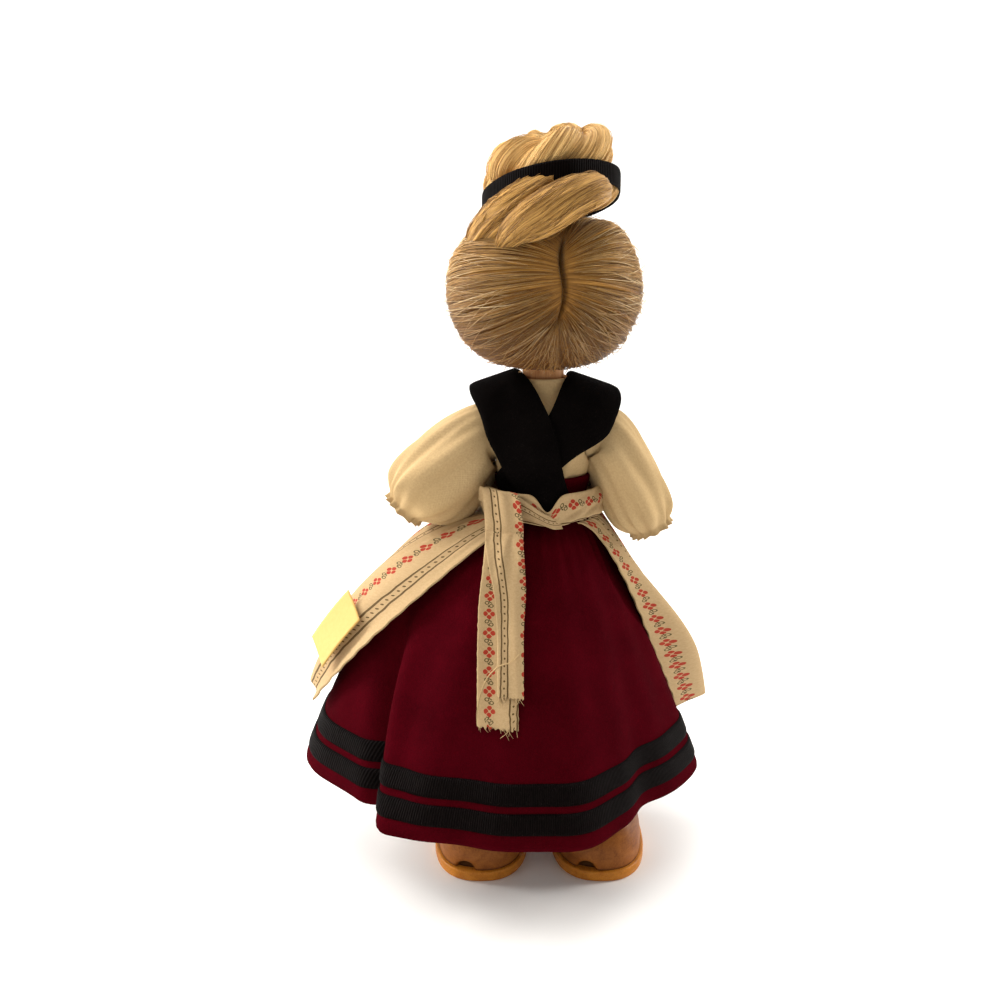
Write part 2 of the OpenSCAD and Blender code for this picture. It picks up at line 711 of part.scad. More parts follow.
module strap(mids, front_off, back_off) {
    function strap_rows_at(out) =
        [for (i = [0 : strap_rows])
            [for (j = [0 : strap_cols])
                strap_point(i / strap_rows, j / strap_cols - 1 / 2, mids, front_off + out, back_off + out)]];
    skin(strap_rows_at(felt_t), strap_rows_at(0), flip = true);
}
module strap_left() {
    color("black") strap(strap_over_shares, felt_high, felt_high);
}
module strap_right() {
    color("black") mirror([1, 0, 0]) strap(strap_under_shares, felt_high, felt_low);
}

// The skirt hangs in a bell that is pushed out to the doll's left, with one deep fold
skirt_cols = 48;
hem_shares = [1, 1.02, 1.06, 1.11, 1.16, 1.26, 1.38, 1.41, 1.35, 1.25, 1.17, 1.1,
    1.08, 1.06, 1.04, 1, 0.97, 0.94, 0.91, 0.9, 0.88, 0.87, 0.92, 0.97];
fold_shares = [0, 0, 0, 0.2, -0.9, -0.15, 0.1, -0.1, 0.15, -0.2, 0.2, -0.2,
    0.2, -0.2, 0.2, -0.15, 0.15, -0.1, 0.1, 0, -0.35, -0.5, -0.25, 0.1];
bell_shares = [0.75, 0.64, 0.5, 0.54, 0.62, 0.7, 0.84, 0.82];
lift_shares = [0, 0, 0.45, 1, 0.7, 0.4, 0, 0];
skirt_top_z = dress_low_z - layer_gap;
skirt_top_r = waist_r + dress_out;
function skirt_hem_z(angle) = hem_z + hem_lift * around(lift_shares, angle);
function skirt_z(angle, t) = mix(skirt_top_z, skirt_hem_z(angle), t);
function skirt_t(angle, z) = min(1, max(0, (skirt_top_z - z) / (skirt_top_z - skirt_hem_z(angle))));
function skirt_bell(angle, t) =
    mix(skirt_top_r, hem_r * around(hem_shares, angle), pow(t, around(bell_shares, angle)));
function skirt_r(angle, t) = skirt_bell(angle, t) + fold_d * around(fold_shares, angle) * pow(t, 2);
skirt_h = skirt_top_z - hem_z;
ribbon_low_t = 1 - hem_margin / skirt_h;
ribbon_mid_low_t = ribbon_low_t - hem_ribbon_w / skirt_h;
ribbon_mid_top_t = ribbon_mid_low_t - hem_ribbon_gap / skirt_h;
ribbon_top_t = ribbon_mid_top_t - hem_ribbon_w / skirt_h;
skirt_row_shares = [0, 0.02, 0.07, 0.16, 0.3, 0.48, 0.66];
skirt_rows = concat(skirt_row_shares, [ribbon_top_t, ribbon_mid_top_t, ribbon_mid_low_t, ribbon_low_t, 1]);
function skirt_ring(t, off) =
    [for (j = [0 : skirt_cols - 1])
        let (a = j * 360 / skirt_cols) ring_point(skirt_r(a, t) + off, a, skirt_z(a, t))];
module skirt() {
    color("maroon")
        skin([for (t = skirt_rows) skirt_ring(t, 0)], [for (t = skirt_rows) skirt_ring(t, -wool_t)],
            loop = true, flip = true);
}
module hem_ribbon(top_t, low_t) {
    skin([for (t = [top_t, low_t]) skirt_ring(t, layer_gap + ribbon_t)],
        [for (t = [top_t, low_t]) skirt_ring(t, layer_gap)], loop = true, flip = true);
}
module hem_ribbon_upper() {
    color("black") hem_ribbon(ribbon_top_t, ribbon_mid_top_t);
}
module hem_ribbon_lower() {
    color("black") hem_ribbon(ribbon_mid_low_t, ribbon_low_t);
}

// The apron hangs from its band and wraps round both sides, its free edges falling forward
apron_cols = 40;
apron_rows = 10;
apron_top_angles = [146, 154];
apron_low_angles = [77, 92];
apron_turn = 0.5;
apron_close = 1.7;
apron_flare_shares = [1, 0.85, 0.55, 0.35, 0.3, 0.35, 0.6, 0.8, 0.3];
apron_rise_shares = [0.95, 0.98, 1.02, 1.06, 1.08, 1.06, 1.02, 0.98, 0.97];
apron_folds = 7;
apron_flare_rate = 1.3;
apron_fold_rate = 1.4;
apron_top_z = band_low_z - layer_gap;
function apron_point(u, t, out) =
    let (side = u > 0 ? 1 : 0,
        edge = mix(apron_top_angles[side], apron_low_angles[side], pow(t, apron_turn)),
        a = 180 - u * edge,
        z = apron_top_z - apron_len * t * along(apron_rise_shares, (u + 1) / 2),
        flare_most = apron_flare * along(apron_flare_shares, (u + 1) / 2),
        flare = mix(apron_off, flare_most, ease(apron_flare_rate * t)),
        fold = apron_fold * (1 + cos(360 * apron_folds * u)) / 2 * ease(apron_fold_rate * t))
    ring_point(skirt_bell(a, skirt_t(a, z)) + flare + fold + out, a, z);
module apron() {
    function apron_rows_at(out) =
        [for (i = [0 : apron_rows])
            [for (j = [0 : apron_cols])
                apron_point(2 * j / apron_cols - 1, pow(i / apron_rows, apron_close), out)]];
    color("cornsilk")
        skin(apron_rows_at(cotton_t), apron_rows_at(0));
}

module apron_band() {
    color("cornsilk")
    translate([0, 0, band_low_z])
        difference() {
            cylinder(h = band_w, r = band_r + cotton_t);
            translate([0, 0, -overrun / 2])
                cylinder(h = overrun, r = band_r);
        }
}

// The knot is a soft pad on the back of the band, and both tails fall from it down the skirt
knot_y = sqrt(pow(band_r + cotton_t, 2) - pow(knot_x - knot_w / 2, 2)) + layer_gap;
knot_rows = 8;
knot_sides = 14;
knot_square = 0.7;
knot_turn = 75;
module sash_knot() {
    color("cornsilk")
    rings([for (i = [0 : knot_rows])
        let (b = mix(-knot_turn, knot_turn, i / knot_rows))
        [for (k = [0 : knot_sides - 1])
            let (a = k * 360 / knot_sides,
                w = pow(abs(cos(a)), knot_square) * sign(cos(a)),
                h = pow(abs(sin(a)), knot_square) * sign(sin(a)))
            [knot_x + knot_w / 2 * cos(b) * w,
                knot_y + knot_t / 2 * (1 + sin(b)),
                waist_z + knot_h / 2 * cos(b) * h]]]);
}

tail_rows = 12;
tail_cols = 4;
tail_shift_shares = [0.12, -0.17];
tail_neck_share = 0.6;
tail_side_share = 0.9;
tail_layers = 3;
tail_top_z = waist_z - knot_h / 2 - layer_gap;
function tail_point(u, t, w, drop, lift, shift, out) =
    let (z = mix(tail_top_z, waist_z - drop, t),
        x = knot_x + shift * t + w * u * mix(tail_neck_share, 1, ease((tail_top_z - z) / tail_drape)),
        guess = atan2(x, band_r + hem_r * t / 2),
        fall = (tail_top_z - z) / tail_drape,
        over = (apron_off + apron_fold + tail_layers * cotton_t) * (1 - ease(fall)),
        a = asin(min(tail_side_share, x / (skirt_r(guess, skirt_t(guess, z)) + over))),
        r = skirt_r(a, skirt_t(a, z)) + over + lift + out,
        ripple = tail_ripple * sin(180 * fall) * (x - knot_x) / tail_w)
    [x, r * cos(a) + ripple, z];
module tail(w, drop, lift, shift) {
    function tail_rows_at(out) =
        [for (i = [0 : tail_rows])
            [for (j = [0 : tail_cols])
                tail_point(j / tail_cols - 1 / 2, i / tail_rows, w, drop, lift, shift, out)]];
    skin(tail_rows_at(cotton_t), tail_rows_at(0), flip = true);
}
tail_long_off = 2 * layer_gap + tail_ripple;
tail_short_off = tail_long_off + cotton_t + layer_gap + tail_ripple;
module sash_tail_long() {
    color("cornsilk") tail(tail_w, tail_long, tail_long_off, tail_w * tail_shift_shares[0]);
}
module sash_tail_short() {
    color("cornsilk") tail(tail_short_w, tail_short, tail_short_off, tail_w * tail_shift_shares[1]);
}

// The tag is a blank card that lies on the left wing of the apron
tag_rows = 5;
tag_cols = 3;
tag_curl_share = 0.04;
tag_place_shares = [0.89, 0.6];
tag_step_shares = [0.1, 0.16];
module paper_tag() {
    rest = cotton_t + 2 * layer_gap;
    u = tag_place_shares[0];
    t = tag_place_shares[1];
    mid = apron_point(u, t, rest);
    down = apron_point(u, t + tag_step_shares[1], rest) - mid;
    over = apron_point(u - tag_step_shares[0], t, rest) - mid;
    along_v = down / norm(down);
    out_raw = cross(over, along_v);
    out_v = out_raw / norm(out_raw);
    across_v = cross(along_v, out_v);
    function tag_rows_at(off) =
        [for (i = [0 : tag_rows])
            [for (j = [0 : tag_cols])
                let (a = i / tag_rows - 1 / 2, b = j / tag_cols - 1 / 2)
                mid + along_v * tag_len * a + across_v * tag_w * b
                    + out_v * (off + apron_fold / 2 + tag_len * tag_curl_share * pow(2 * a, 2))]];
    color("khaki")
        skin(tag_rows_at(card_t), tag_rows_at(0), flip = true);
}

// A sleeve starts as a ring in the armhole, swells over the upper arm, is gathered at the elbow
// and ends in a frill, from which the forearm comes out at the front
sleeve_rows = 14;
sleeve_cols = 30;
sleeve_gathers = 10;
sleeve_full_shares = [0, 0, 0.05, 0.2, 0.45, 0.75, 0.95, 1, 1, 0.8, 0.35, 0, 0.08, 0.2, 0.35];
sleeve_gather_shares = [0, 0, 0, 0.1, 0.3, 0.4, 0.5, 0.5, 0.6, 0.8, 0.8, 0.4, 0.6, 0.9, 1.2];
sleeve_inner_shares = [1, 1, 1, 1, 0.96, 0.9, 0.88, 0.92, 0.95, 1, 1, 1, 1, 1, 1];
sleeve_swing_share = 0.06;
sleeve_half_share = 0.5;
sleeve_turn_shares = [0.1, 0.3];
sleeve_taper_shares = [0.3, 0.75];
function between(t, limits) = ease((t - limits[0]) / (limits[1] - limits[0]));
sleeve_end_r = upper_arm_r + elbow_swell + layer_gap + cotton_t + gather_h;
function unit(v) = v / norm(v);
function sleeve_mid(t, out, drop) =
    let (end = elbow(out, drop),
        start = [arm_in_x + cotton_t, 0, shoulder_z],
        head = [arm_out_x, 0, shoulder_z - upper_arm_r / 5],
        half = mix(head, end, sleeve_half_share) + [out * sleeve_swing_share, 0, 0])
    along([start, head, half, end, end + unit(end - half) * frill_len], t);
function sleeve_grid(out, drop, wide, in) =
    [for (i = [0 : sleeve_rows])
        let (t = i / sleeve_rows,
            step = 1 / sleeve_rows,
            c = sleeve_mid(t, out, drop),
            run = unit(sleeve_mid(t + step, out, drop) - sleeve_mid(t - step, out, drop)),
            way = unit(mix([1, 0, 0], run, between(t, sleeve_turn_shares))),
            rise = cross(way, [0, 1, 0]),
            base = mix(sleeve_head_r, sleeve_end_r, between(t, sleeve_taper_shares)),
            full = sleeve_full_shares[i])
        [for (j = [0 : sleeve_cols - 1])
            let (a = j * 360 / sleeve_cols,
                g = gather_h * sleeve_gather_shares[i] * cos(sleeve_gathers * a) - in,
                w = mix(base, wide, full) * (cos(a) < 0 ? sleeve_inner_shares[i] : 1),
                d = mix(base, sleeve_full, full))
            c + rise * (w + g) * cos(a) + [0, 1, 0] * (d + g) * sin(a)]];
module sleeve(out, drop, wide) {
    difference() {
        skin(sleeve_grid(out, drop, wide, 0), sleeve_grid(out, drop, wide, cotton_t), loop = true);
        limb(elbow(out, drop), wrist(out, drop), upper_arm_r + slide_gap, wrist_r + slide_gap);
    }
}
module sleeve_left() {
    color("cornsilk") sleeve(elbow_out_left, elbow_drop_left, sleeve_wide_left);
}
module sleeve_right() {
    color("cornsilk") mirror([1, 0, 0]) sleeve(elbow_out_right, elbow_drop_right, sleeve_wide_right);
}

torso();
neck_peg();
shoulder_peg_left();
shoulder_peg_right();
hip_peg();
blouse();
dress_bodice();
felt_front();
strap_left();
strap_right();
skirt();
hem_ribbon_upper();
hem_ribbon_lower();
apron();
apron_band();
sash_knot();
sash_tail_long();
sash_tail_short();
paper_tag();
head();
nose_peg();
wig();
hair_bun();
hair_twist();
hair_ribbon();
arm_left();
sleeve_left();
arm_right();
sleeve_right();
leg_left();
shoe_left();
sole_left();
leg_right();
shoe_right();
sole_right();
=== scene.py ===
import bmesh
import bpy
import numpy as np
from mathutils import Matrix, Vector


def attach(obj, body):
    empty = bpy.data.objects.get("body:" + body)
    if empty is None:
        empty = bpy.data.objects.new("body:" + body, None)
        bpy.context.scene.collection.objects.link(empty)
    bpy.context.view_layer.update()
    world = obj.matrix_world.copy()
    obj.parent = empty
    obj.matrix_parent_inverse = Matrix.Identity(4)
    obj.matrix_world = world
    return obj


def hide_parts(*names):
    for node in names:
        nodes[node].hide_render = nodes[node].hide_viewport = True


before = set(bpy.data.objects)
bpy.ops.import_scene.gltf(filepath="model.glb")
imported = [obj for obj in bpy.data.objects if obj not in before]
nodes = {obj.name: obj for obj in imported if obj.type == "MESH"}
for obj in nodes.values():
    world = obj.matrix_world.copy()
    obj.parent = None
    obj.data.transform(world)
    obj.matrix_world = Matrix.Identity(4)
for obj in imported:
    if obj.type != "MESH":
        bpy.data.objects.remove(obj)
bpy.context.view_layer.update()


# Photographer's corner: the doll stands with its back to the camera, on white paper that bends up into a
# wall. One big soft window is overhead, a warm one behind the doll's left and a weak one behind its right.
# Two strip lights graze its sides, and a last light whitens the wall.
lens = bpy.data.cameras.new("camera")
lens.lens, lens.sensor_width = 41.36, 36.0
lens.clip_start, lens.clip_end = 0.01, 20.0
look_down = 14.3
camera = bpy.data.objects.new("camera", lens)
camera.location = (0.0113, 0.300, 0.180)
camera.rotation_euler = (np.radians(90 - look_down), 0.0, np.radians(180))
bpy.context.scene.collection.objects.link(camera)
bpy.context.scene.camera = camera


def paint(r, g, b):
    """A paint mixed by its screen values, 0 to 255, as linear light."""
    v = np.array([r, g, b]) / 255.0
    return (*np.where(v <= 0.04045, v / 12.92, ((v + 0.055) / 1.055) ** 2.4).tolist(), 1.0)


def put(tree, kind, settings=None, inputs=()):
    """Adds one shader node; settings are its properties, and an input takes a value or a socket."""
    item = tree.nodes.new("ShaderNode" + kind)
    for key, value in (settings or {}).items():
        setattr(item, key, value)
    for key, value in inputs.items() if isinstance(inputs, dict) else enumerate(inputs):
        if isinstance(value, bpy.types.NodeSocket):
            tree.links.new(value, item.inputs[key])
        elif value is not None:
            item.inputs[key].default_value = value
    return item


def mottle(tree, place, scale, detail, rough=0.5, bend=0.0):
    """An uneven shade from 0 to 1: clouds, smaller as the scale grows, with finer ones laid over them."""
    inputs = {"Vector": place, "Scale": scale, "Detail": detail, "Roughness": rough, "Distortion": bend}
    return put(tree, "TexNoise", inputs=inputs).outputs["Fac"]


def blend_paint(tree, factor, low, high):
    """Colour low where the factor is 0 and high where it is 1."""
    return put(tree, "Mix", {"data_type": "RGBA"}, {0: factor, 6: low, 7: high}).outputs[2]


def new_material(name, roughness, **sockets):
    """A material with its own Principled shader, and the constants that go on its sockets."""
    material = bpy.data.materials.new(name)
    material.use_nodes = True
    shader = material.node_tree.nodes["Principled BSDF"]
    shader.inputs["Roughness"].default_value = roughness
    for key, value in sockets.items():
        shader.inputs[key.replace("_", " ")].default_value = value
    return material, material.node_tree, shader


def colour_with(tree, shader, colour):
    """Gives the shader its colour, in place of any that it had."""
    tree.links.new(colour, shader.inputs["Base Color"])


def grid(*axes):
    """Points, or flat places, from their coordinates, each spread over the whole grid."""
    return np.stack(np.broadcast_arrays(*axes), -1)


def lay(name, points, material, uv=None, wrap=False, thick=0.0, weld=False, keep=None, inside=None):
    """Lays a grid of points, rows by columns in millimetres, as one smooth mesh at the origin.

    Each square of four neighbouring points is a face; wrap joins the last column to the first, and a
    leading axis holds several grids of one size. Faces are turned to point away from inside, or from the
    grid's own middle. uv is in millimetres, with one column more where the grid wraps.
    """
    points = np.asarray(points, float)
    grids = points.reshape((-1,) + points.shape[-3:])
    count, rows, cols = grids.shape[:3]
    span = cols if wrap else cols - 1
    g, r, c = np.meshgrid(np.arange(count), np.arange(rows - 1), np.arange(span), indexing="ij")
    steps = [(0, 0), (0, 1), (1, 1), (1, 0)]
    quads = np.stack([(g * rows + r + i) * cols + (c + j) % cols for i, j in steps], -1).reshape(-1, 4)
    if uv is None:
        uv = grid(np.arange(rows)[:, None], np.arange(cols + wrap)[None, :]).astype(float)
    flat = np.broadcast_to(uv, (count, rows, cols + wrap, 2)).reshape(-1, 2)
    marks = np.stack([(g * rows + r + i) * (cols + wrap) + c + j for i, j in steps], -1).reshape(-1, 4)
    if keep is not None:
        kept = np.broadcast_to(keep, (count, rows - 1, span)).ravel()
        quads, marks = quads[kept], marks[kept]
    flat_points = grids.reshape(-1, 3)
    p = flat_points[quads]
    normal = np.cross(p[:, 2] - p[:, 0], p[:, 3] - p[:, 1])
    middle = flat_points.mean(0) if inside is None else np.array(inside)
    if ((p.mean(1) - middle) * normal).sum() < 0:
        quads, marks = quads[:, ::-1], marks[:, ::-1]
    metres = 0.001
    mesh = bpy.data.meshes.new(name)
    mesh.vertices.add(len(flat_points))
    mesh.vertices.foreach_set("co", (flat_points * metres).astype(np.float32).ravel())
    mesh.loops.add(quads.size)
    mesh.loops.foreach_set("vertex_index", quads.astype(np.int32).ravel())
    mesh.polygons.add(len(quads))
    mesh.polygons.foreach_set("loop_start", np.arange(0, quads.size, 4, dtype=np.int32))
    mesh.update(calc_edges=True)
    mesh.polygons.foreach_set("use_smooth", np.ones(len(quads), bool))
    mesh.uv_layers.new(name="UVMap").data.foreach_set("uv", flat[marks].astype(np.float32).ravel())
    mesh.validate()
    if weld:
        shape = bmesh.new()
        shape.from_mesh(mesh)
        bmesh.ops.remove_doubles(shape, verts=shape.verts, dist=2e-6)
        bmesh.ops.dissolve_degenerate(shape, edges=shape.edges, dist=1e-7)
        shape.to_mesh(mesh)
        shape.free()
    piece = bpy.data.objects.new(name, mesh)
    bpy.context.scene.collection.objects.link(piece)
    mesh.materials.append(material)
    if thick:
        wall = piece.modifiers.new("wall", "SOLIDIFY")
        wall.thickness, wall.offset = thick * metres, -1.0
    return piece


paper, tree, shader = new_material("paper_sweep", 0.85)
clouds = mottle(tree, None, 3.0, 2.0)
colour_with(tree, shader, blend_paint(tree, clouds, paint(247, 246, 244), paint(252, 251, 250)))
table_edge, bend_start, bend_r, wall_top = 2500.0, -900.0, 500.0, 3500.0
bend = np.linspace(0, np.pi / 2, 14)[1:-1]
x = np.linspace(-4000, 4000, 17)[None, :]
y = np.concatenate([np.linspace(table_edge, bend_start, 18), bend_start - bend_r * np.sin(bend),
                    np.full(12, bend_start - bend_r)])[:, None]
z = np.concatenate([np.zeros(18), bend_r - bend_r * np.cos(bend),
                    np.linspace(bend_r, wall_top, 12)])[:, None]
sweep = lay("paper_sweep", grid(x, y, z), paper, inside=(0, -1200, -1500))

world = bpy.data.worlds.new("studio")
world.use_nodes = True
world.node_tree.nodes["Background"].inputs["Color"].default_value = (1.0, 0.985, 0.965, 1)
world.node_tree.nodes["Background"].inputs["Strength"].default_value = 0.42
bpy.context.scene.world = world
bpy.context.scene.view_settings.view_transform = "Standard"


def window(name, place, target, size, power, colour):
    """A rectangular soft light at place, in metres, that faces target."""
    data = bpy.data.lights.new(name, "AREA")
    data.shape, data.size, data.size_y = "RECTANGLE", size[0], size[1]
    data.energy, data.color = power, colour
    light = bpy.data.objects.new(name, data)
    light.location = place
    light.rotation_euler = (Vector(target) - Vector(place)).to_track_quat("-Z", "Y").to_euler()
    bpy.context.scene.collection.objects.link(light)


window("top_window", (0.10, 0.05, 1.10), (0, 0, 0), (0.9, 0.9), 6.6, (1.0, 0.97, 0.93))
window("key_window", (0.75, 0.45, 0.60), (0, 0, 0.10), (0.5, 0.5), 2.2, (1.0, 0.94, 0.86))
window("fill_window", (-0.75, 0.55, 0.45), (0, 0, 0.10), (0.6, 0.6), 0.35, (1.0, 0.95, 0.88))
window("rim_left", (0.52, -0.14, 0.30), (0, 0, 0.15), (0.12, 0.5), 4.8, (1.0, 0.98, 0.95))
window("rim_right", (-0.52, -0.14, 0.30), (0, 0, 0.15), (0.12, 0.5), 2.8, (1.0, 0.98, 0.95))
window("sweep_window", (0.0, -0.55, 1.6), (0, -1.4, 0.6), (2.4, 0.5), 22.0, (1.0, 1.0, 1.0))


# Wooden figure: a turned torso with its neck, carved arms and legs and the pegs that join them, in
# pale close-grained wood that has been oiled, its colour painted darker than the head's as painted shade
# for the neck under the hair. The pegs are whittled from a lighter offcut.
def new_group(name, inputs, outputs):
    """A shader node group with its named sockets, and its two end nodes."""
    group = bpy.data.node_groups.new(name, "ShaderNodeTree")
    for label, kind, value in inputs:
        socket = group.interface.new_socket(name=label, in_out="INPUT", socket_type="NodeSocket" + kind)
        if value is not None:
            socket.default_value = value
    for label, kind in outputs:
        group.interface.new_socket(name=label, in_out="OUTPUT", socket_type="NodeSocket" + kind)
    return group, group.nodes.new("NodeGroupInput"), group.nodes.new("NodeGroupOutput")


def use(tree, group, inputs):
    """Places a node group in a tree with its own values."""
    return put(tree, "Group", {"node_tree": group}, inputs)


def calc(tree, operation, *values):
    """One sum of one, two or three values."""
    return put(tree, "Math", {"operation": operation}, values).outputs[0]


def stretch(tree, place, scale, turn=(0, 0, 0)):
    """A pattern's place, stretched along its axes and then turned."""
    return put(tree, "Mapping", {}, {"Vector": place, "Rotation": turn, "Scale": scale}).outputs[0]


def millimetres(tree, turn=(0, 0, 0)):
    """The piece's own coordinates in millimetres, turned for a pattern."""
    return stretch(tree, put(tree, "TexCoord").outputs["Object"], (1000, 1000, 1000), turn)


def ramp(tree, value, low, high, start=0.0, end=1.0, kind="LINEAR"):
    """A value's range, low to high, carried over to another, start to end, and held at both ends."""
    inputs = {"Value": value, "From Min": low, "From Max": high, "To Min": start, "To Max": end}
    return put(tree, "MapRange", {"interpolation_type": kind}, inputs).outputs[0]


def bump(tree, shader, height, strength, distance):
    """Raises the surface by a height pattern; distance is in metres."""
    relief = put(tree, "Bump", {}, {"Strength": strength, "Distance": distance, "Height": height})
    tree.links.new(relief.outputs[0], shader.inputs["Normal"])


grain, put_in, put_out = new_group(
    "wood_grain",
    [("Vector", "Vector", None), ("Pale", "Color", None), ("Dark", "Color", None)],
    [("Color", "Color"), ("Height", "Float")])
lengthwise = stretch(grain, put_in.outputs["Vector"], (1, 1, 0.12))
bands = mottle(grain, lengthwise, 0.34, 3.0, bend=0.6)
fibres = mottle(grain, lengthwise, 2.6, 4.0, 0.65)
mixed = calc(grain, "MULTIPLY_ADD", fibres, 0.45, calc(grain, "MULTIPLY", bands, 0.55))
streaks = blend_paint(grain, ramp(grain, mixed, 0.36, 0.66), put_in.outputs["Dark"], put_in.outputs["Pale"])
grain.links.new(streaks, put_out.inputs["Color"])
grain.links.new(fibres, put_out.inputs["Height"])


def wood(name, pale, dark, roughness, turn=(0, 0, 0), coat=0.0):
    """Oiled wood with its grain along Z, or turned."""
    material, tree, shader = new_material(
        name, roughness, Specular_IOR_Level=0.12, Coat_Weight=coat, Coat_Roughness=0.25)
    lines = use(tree, grain, {"Vector": millimetres(tree, turn), "Pale": pale, "Dark": dark})
    colour_with(tree, shader, lines.outputs["Color"])
    bump(tree, shader, lines.outputs["Height"], 0.25, 0.0002)
    return material, tree, shader, lines


def finish_wood(part, material):
    """Gives a turned, carved or whittled piece its finish."""
    nodes[part].data.materials.clear()
    nodes[part].data.materials.append(material)


# Painted shade: the figure's wood is painted darker than the head's, for the shade on the neck.
shaded_figure_wood = wood("shaded_figure_wood", paint(184, 134, 88), paint(146, 98, 58), 0.5)[0]
peg_wood = wood("peg_wood", paint(210, 170, 122), paint(178, 132, 86), 0.6, (0, np.pi / 2, 0))[0]
for part in ("torso", "arm_left", "arm_right", "leg_left", "leg_right"):
    finish_wood(part, shaded_figure_wood)
for part in ("neck_peg", "shoulder_peg_left", "shoulder_peg_right", "hip_peg", "nose_peg"):
    finish_wood(part, peg_wood)


# Head: a turned ball of wood, painted paler than the figure, with a peg for a nose. The face is brushed on
# with thin paint: two dot eyes with a glint each, brows of one stroke, a small smile and rouge rubbed into
# the cheeks.
head_z, head_r = 159.43, 18.5
eye_x, cheek_x, glint_off = 6.2, 9.6, 0.5


def spot(tree, x, z, centre, half):
    """How far a point lies from a centre, in half widths: 0 in the middle and 1 on the oval's edge."""
    across = calc(tree, "DIVIDE", calc(tree, "SUBTRACT", x, centre[0]), half[0])
    up = calc(tree, "DIVIDE", calc(tree, "SUBTRACT", z, centre[1]), half[1])
    squares = calc(tree, "ADD", calc(tree, "MULTIPLY", across, across), calc(tree, "MULTIPLY", up, up))
    return calc(tree, "SQRT", squares)


def brush(tree, distance, edge=1.0, soft=0.12):
    """A brush stroke's cover: 1 inside the edge, 0 outside, with a narrow soft rim."""
    return ramp(tree, distance, edge - soft, edge + soft, 1.0, 0.0, "SMOOTHSTEP")


def outline(tree, distance, half, soft):
    """A thin stroke along the oval's edge, half its width to each side."""
    return brush(tree, calc(tree, "ABSOLUTE", calc(tree, "SUBTRACT", distance, 1.0)), half, soft)


face_wood, tree, shader, lines = wood("face_wood", paint(212, 166, 120), paint(188, 140, 96), 0.45)
axes = put(tree, "SeparateXYZ", inputs=[millimetres(tree)])
x, z = axes.outputs["X"], axes.outputs["Z"]
side = calc(tree, "ABSOLUTE", x)
front = calc(tree, "LESS_THAN", axes.outputs["Y"], 0.0)
rouge = brush(tree, spot(tree, side, z, (cheek_x, head_z - 4.6), (3.6, 3.0)), 0.6, 0.5)
rouge = calc(tree, "MULTIPLY", rouge, 0.55)
eye = brush(tree, spot(tree, side, z, (eye_x, head_z + 1.6), (1.45, 1.85)))
glints = [brush(tree, spot(tree, x, z, (glint_x, head_z + 2.3), (0.42, 0.42)))
          for glint_x in (glint_off + eye_x, glint_off - eye_x)]
brow = outline(tree, spot(tree, side, z, (eye_x, head_z + 1.9), (3.2, 4.2)), 0.07, 0.03)
brow = calc(tree, "MULTIPLY", brow, calc(tree, "GREATER_THAN", z, head_z + 4.6))
mouth = outline(tree, spot(tree, x, z, (0, head_z - 5.4), (3.3, 3.0)), 0.11, 0.04)
mouth = calc(tree, "MULTIPLY", mouth, calc(tree, "LESS_THAN", z, head_z - 6.9))
colour = lines.outputs["Color"]
glint_white = paint(240, 232, 220)
for cover, ink in ((rouge, paint(206, 96, 78)), (eye, paint(44, 30, 22)), (glints[0], glint_white),
                   (glints[1], glint_white), (brow, paint(120, 82, 46)), (mouth, paint(176, 54, 46))):
    colour = blend_paint(tree, calc(tree, "MULTIPLY", cover, front), colour, ink)
colour_with(tree, shader, colour)
finish_wood("head", face_wood)


# Shoes: each a carved wooden clog, stained golden tan, on a sole of thicker plank whose edge shows as a
# lip. A small arch is gouged where the back of the clog meets the sole, and the ankle is glued in. The
# upper is darkened with painted shade just above the sole and inside the arch.
def ease(t):
    """Smooth step from 0 to 1: three squares less two cubes of the share."""
    c = np.clip(t, 0.0, 1.0)
    return c * c * (3 - 2 * c)


def cubic(a, b, c, d, f):
    """The cubic from b to c at a share f; its slope at each is half the difference of its neighbours."""
    return b + f / 2 * (c - a + f * (2 * a - 5 * b + 4 * c - d + f * (3 * (b - c) + d - a)))


def along(table, t):
    """A smooth curve through evenly spaced values or points, read at shares t from 0 to 1."""
    table = np.asarray(table, float)
    n = len(table) - 1
    p = np.clip(np.asarray(t, float), 0, 1) * n
    i = np.minimum(np.floor(p).astype(int), n - 1)
    f = (p - i).reshape(p.shape + (1,) * (table.ndim - 1))
    return cubic(*(table[np.clip(i + k, 0, n)] for k in (-1, 0, 1, 2)), f)


sole_w, sole_len, sole_t, shoe_h, heel_back, foot_x = 27.5, 42.0, 3.0, 14.0, 19.5, 16.7
shoe_mid, heel_share, squareness = heel_back - sole_len / 2, 0.95, 2.5
arch_x, arch_back, arch_half, arch_h, arch_d = 4.0, 6.0, 2.9, 2.6, 1.5


def shoe_edge(a, inset):
    """The shoe's outline: an oval squared to the power 2.5, broader at the toe than at the heel."""
    c, s = np.cos(a), np.sin(a)
    k = (np.abs(c) ** squareness + np.abs(s) ** squareness) ** (-1 / squareness)
    w = (sole_w / 2 - inset) * (1.0 + (heel_share - 1.0) * (1 + k * s) / 2)
    return w * k * c, shoe_mid + (sole_len / 2 - inset) * k * s


def clog(x):
    """The upper: the outline is drawn in and lifted row by row into a low dome, closing on the ankle."""
    a = np.linspace(0, 2 * np.pi, 120, endpoint=False)[None, :]
    t = np.linspace(0, 1, 44)[:, None]
    rise = along([0, 0.28, 0.55, 0.78, 0.93, 1.0], t)
    draw = along([0, 0.01, 0.07, 0.2, 0.42, 0.66], t)
    ex, ey = shoe_edge(a, 0.9)
    px, py, pz = ex * (1 - draw), ey * (1 - draw), sole_t + shoe_h * rise
    gouge = ease((1 - np.hypot((px - arch_x) / arch_half, (pz - sole_t) / arch_h)) * 3.0) * (py > arch_back)
    return grid(px + x, py - arch_d * gouge, pz)


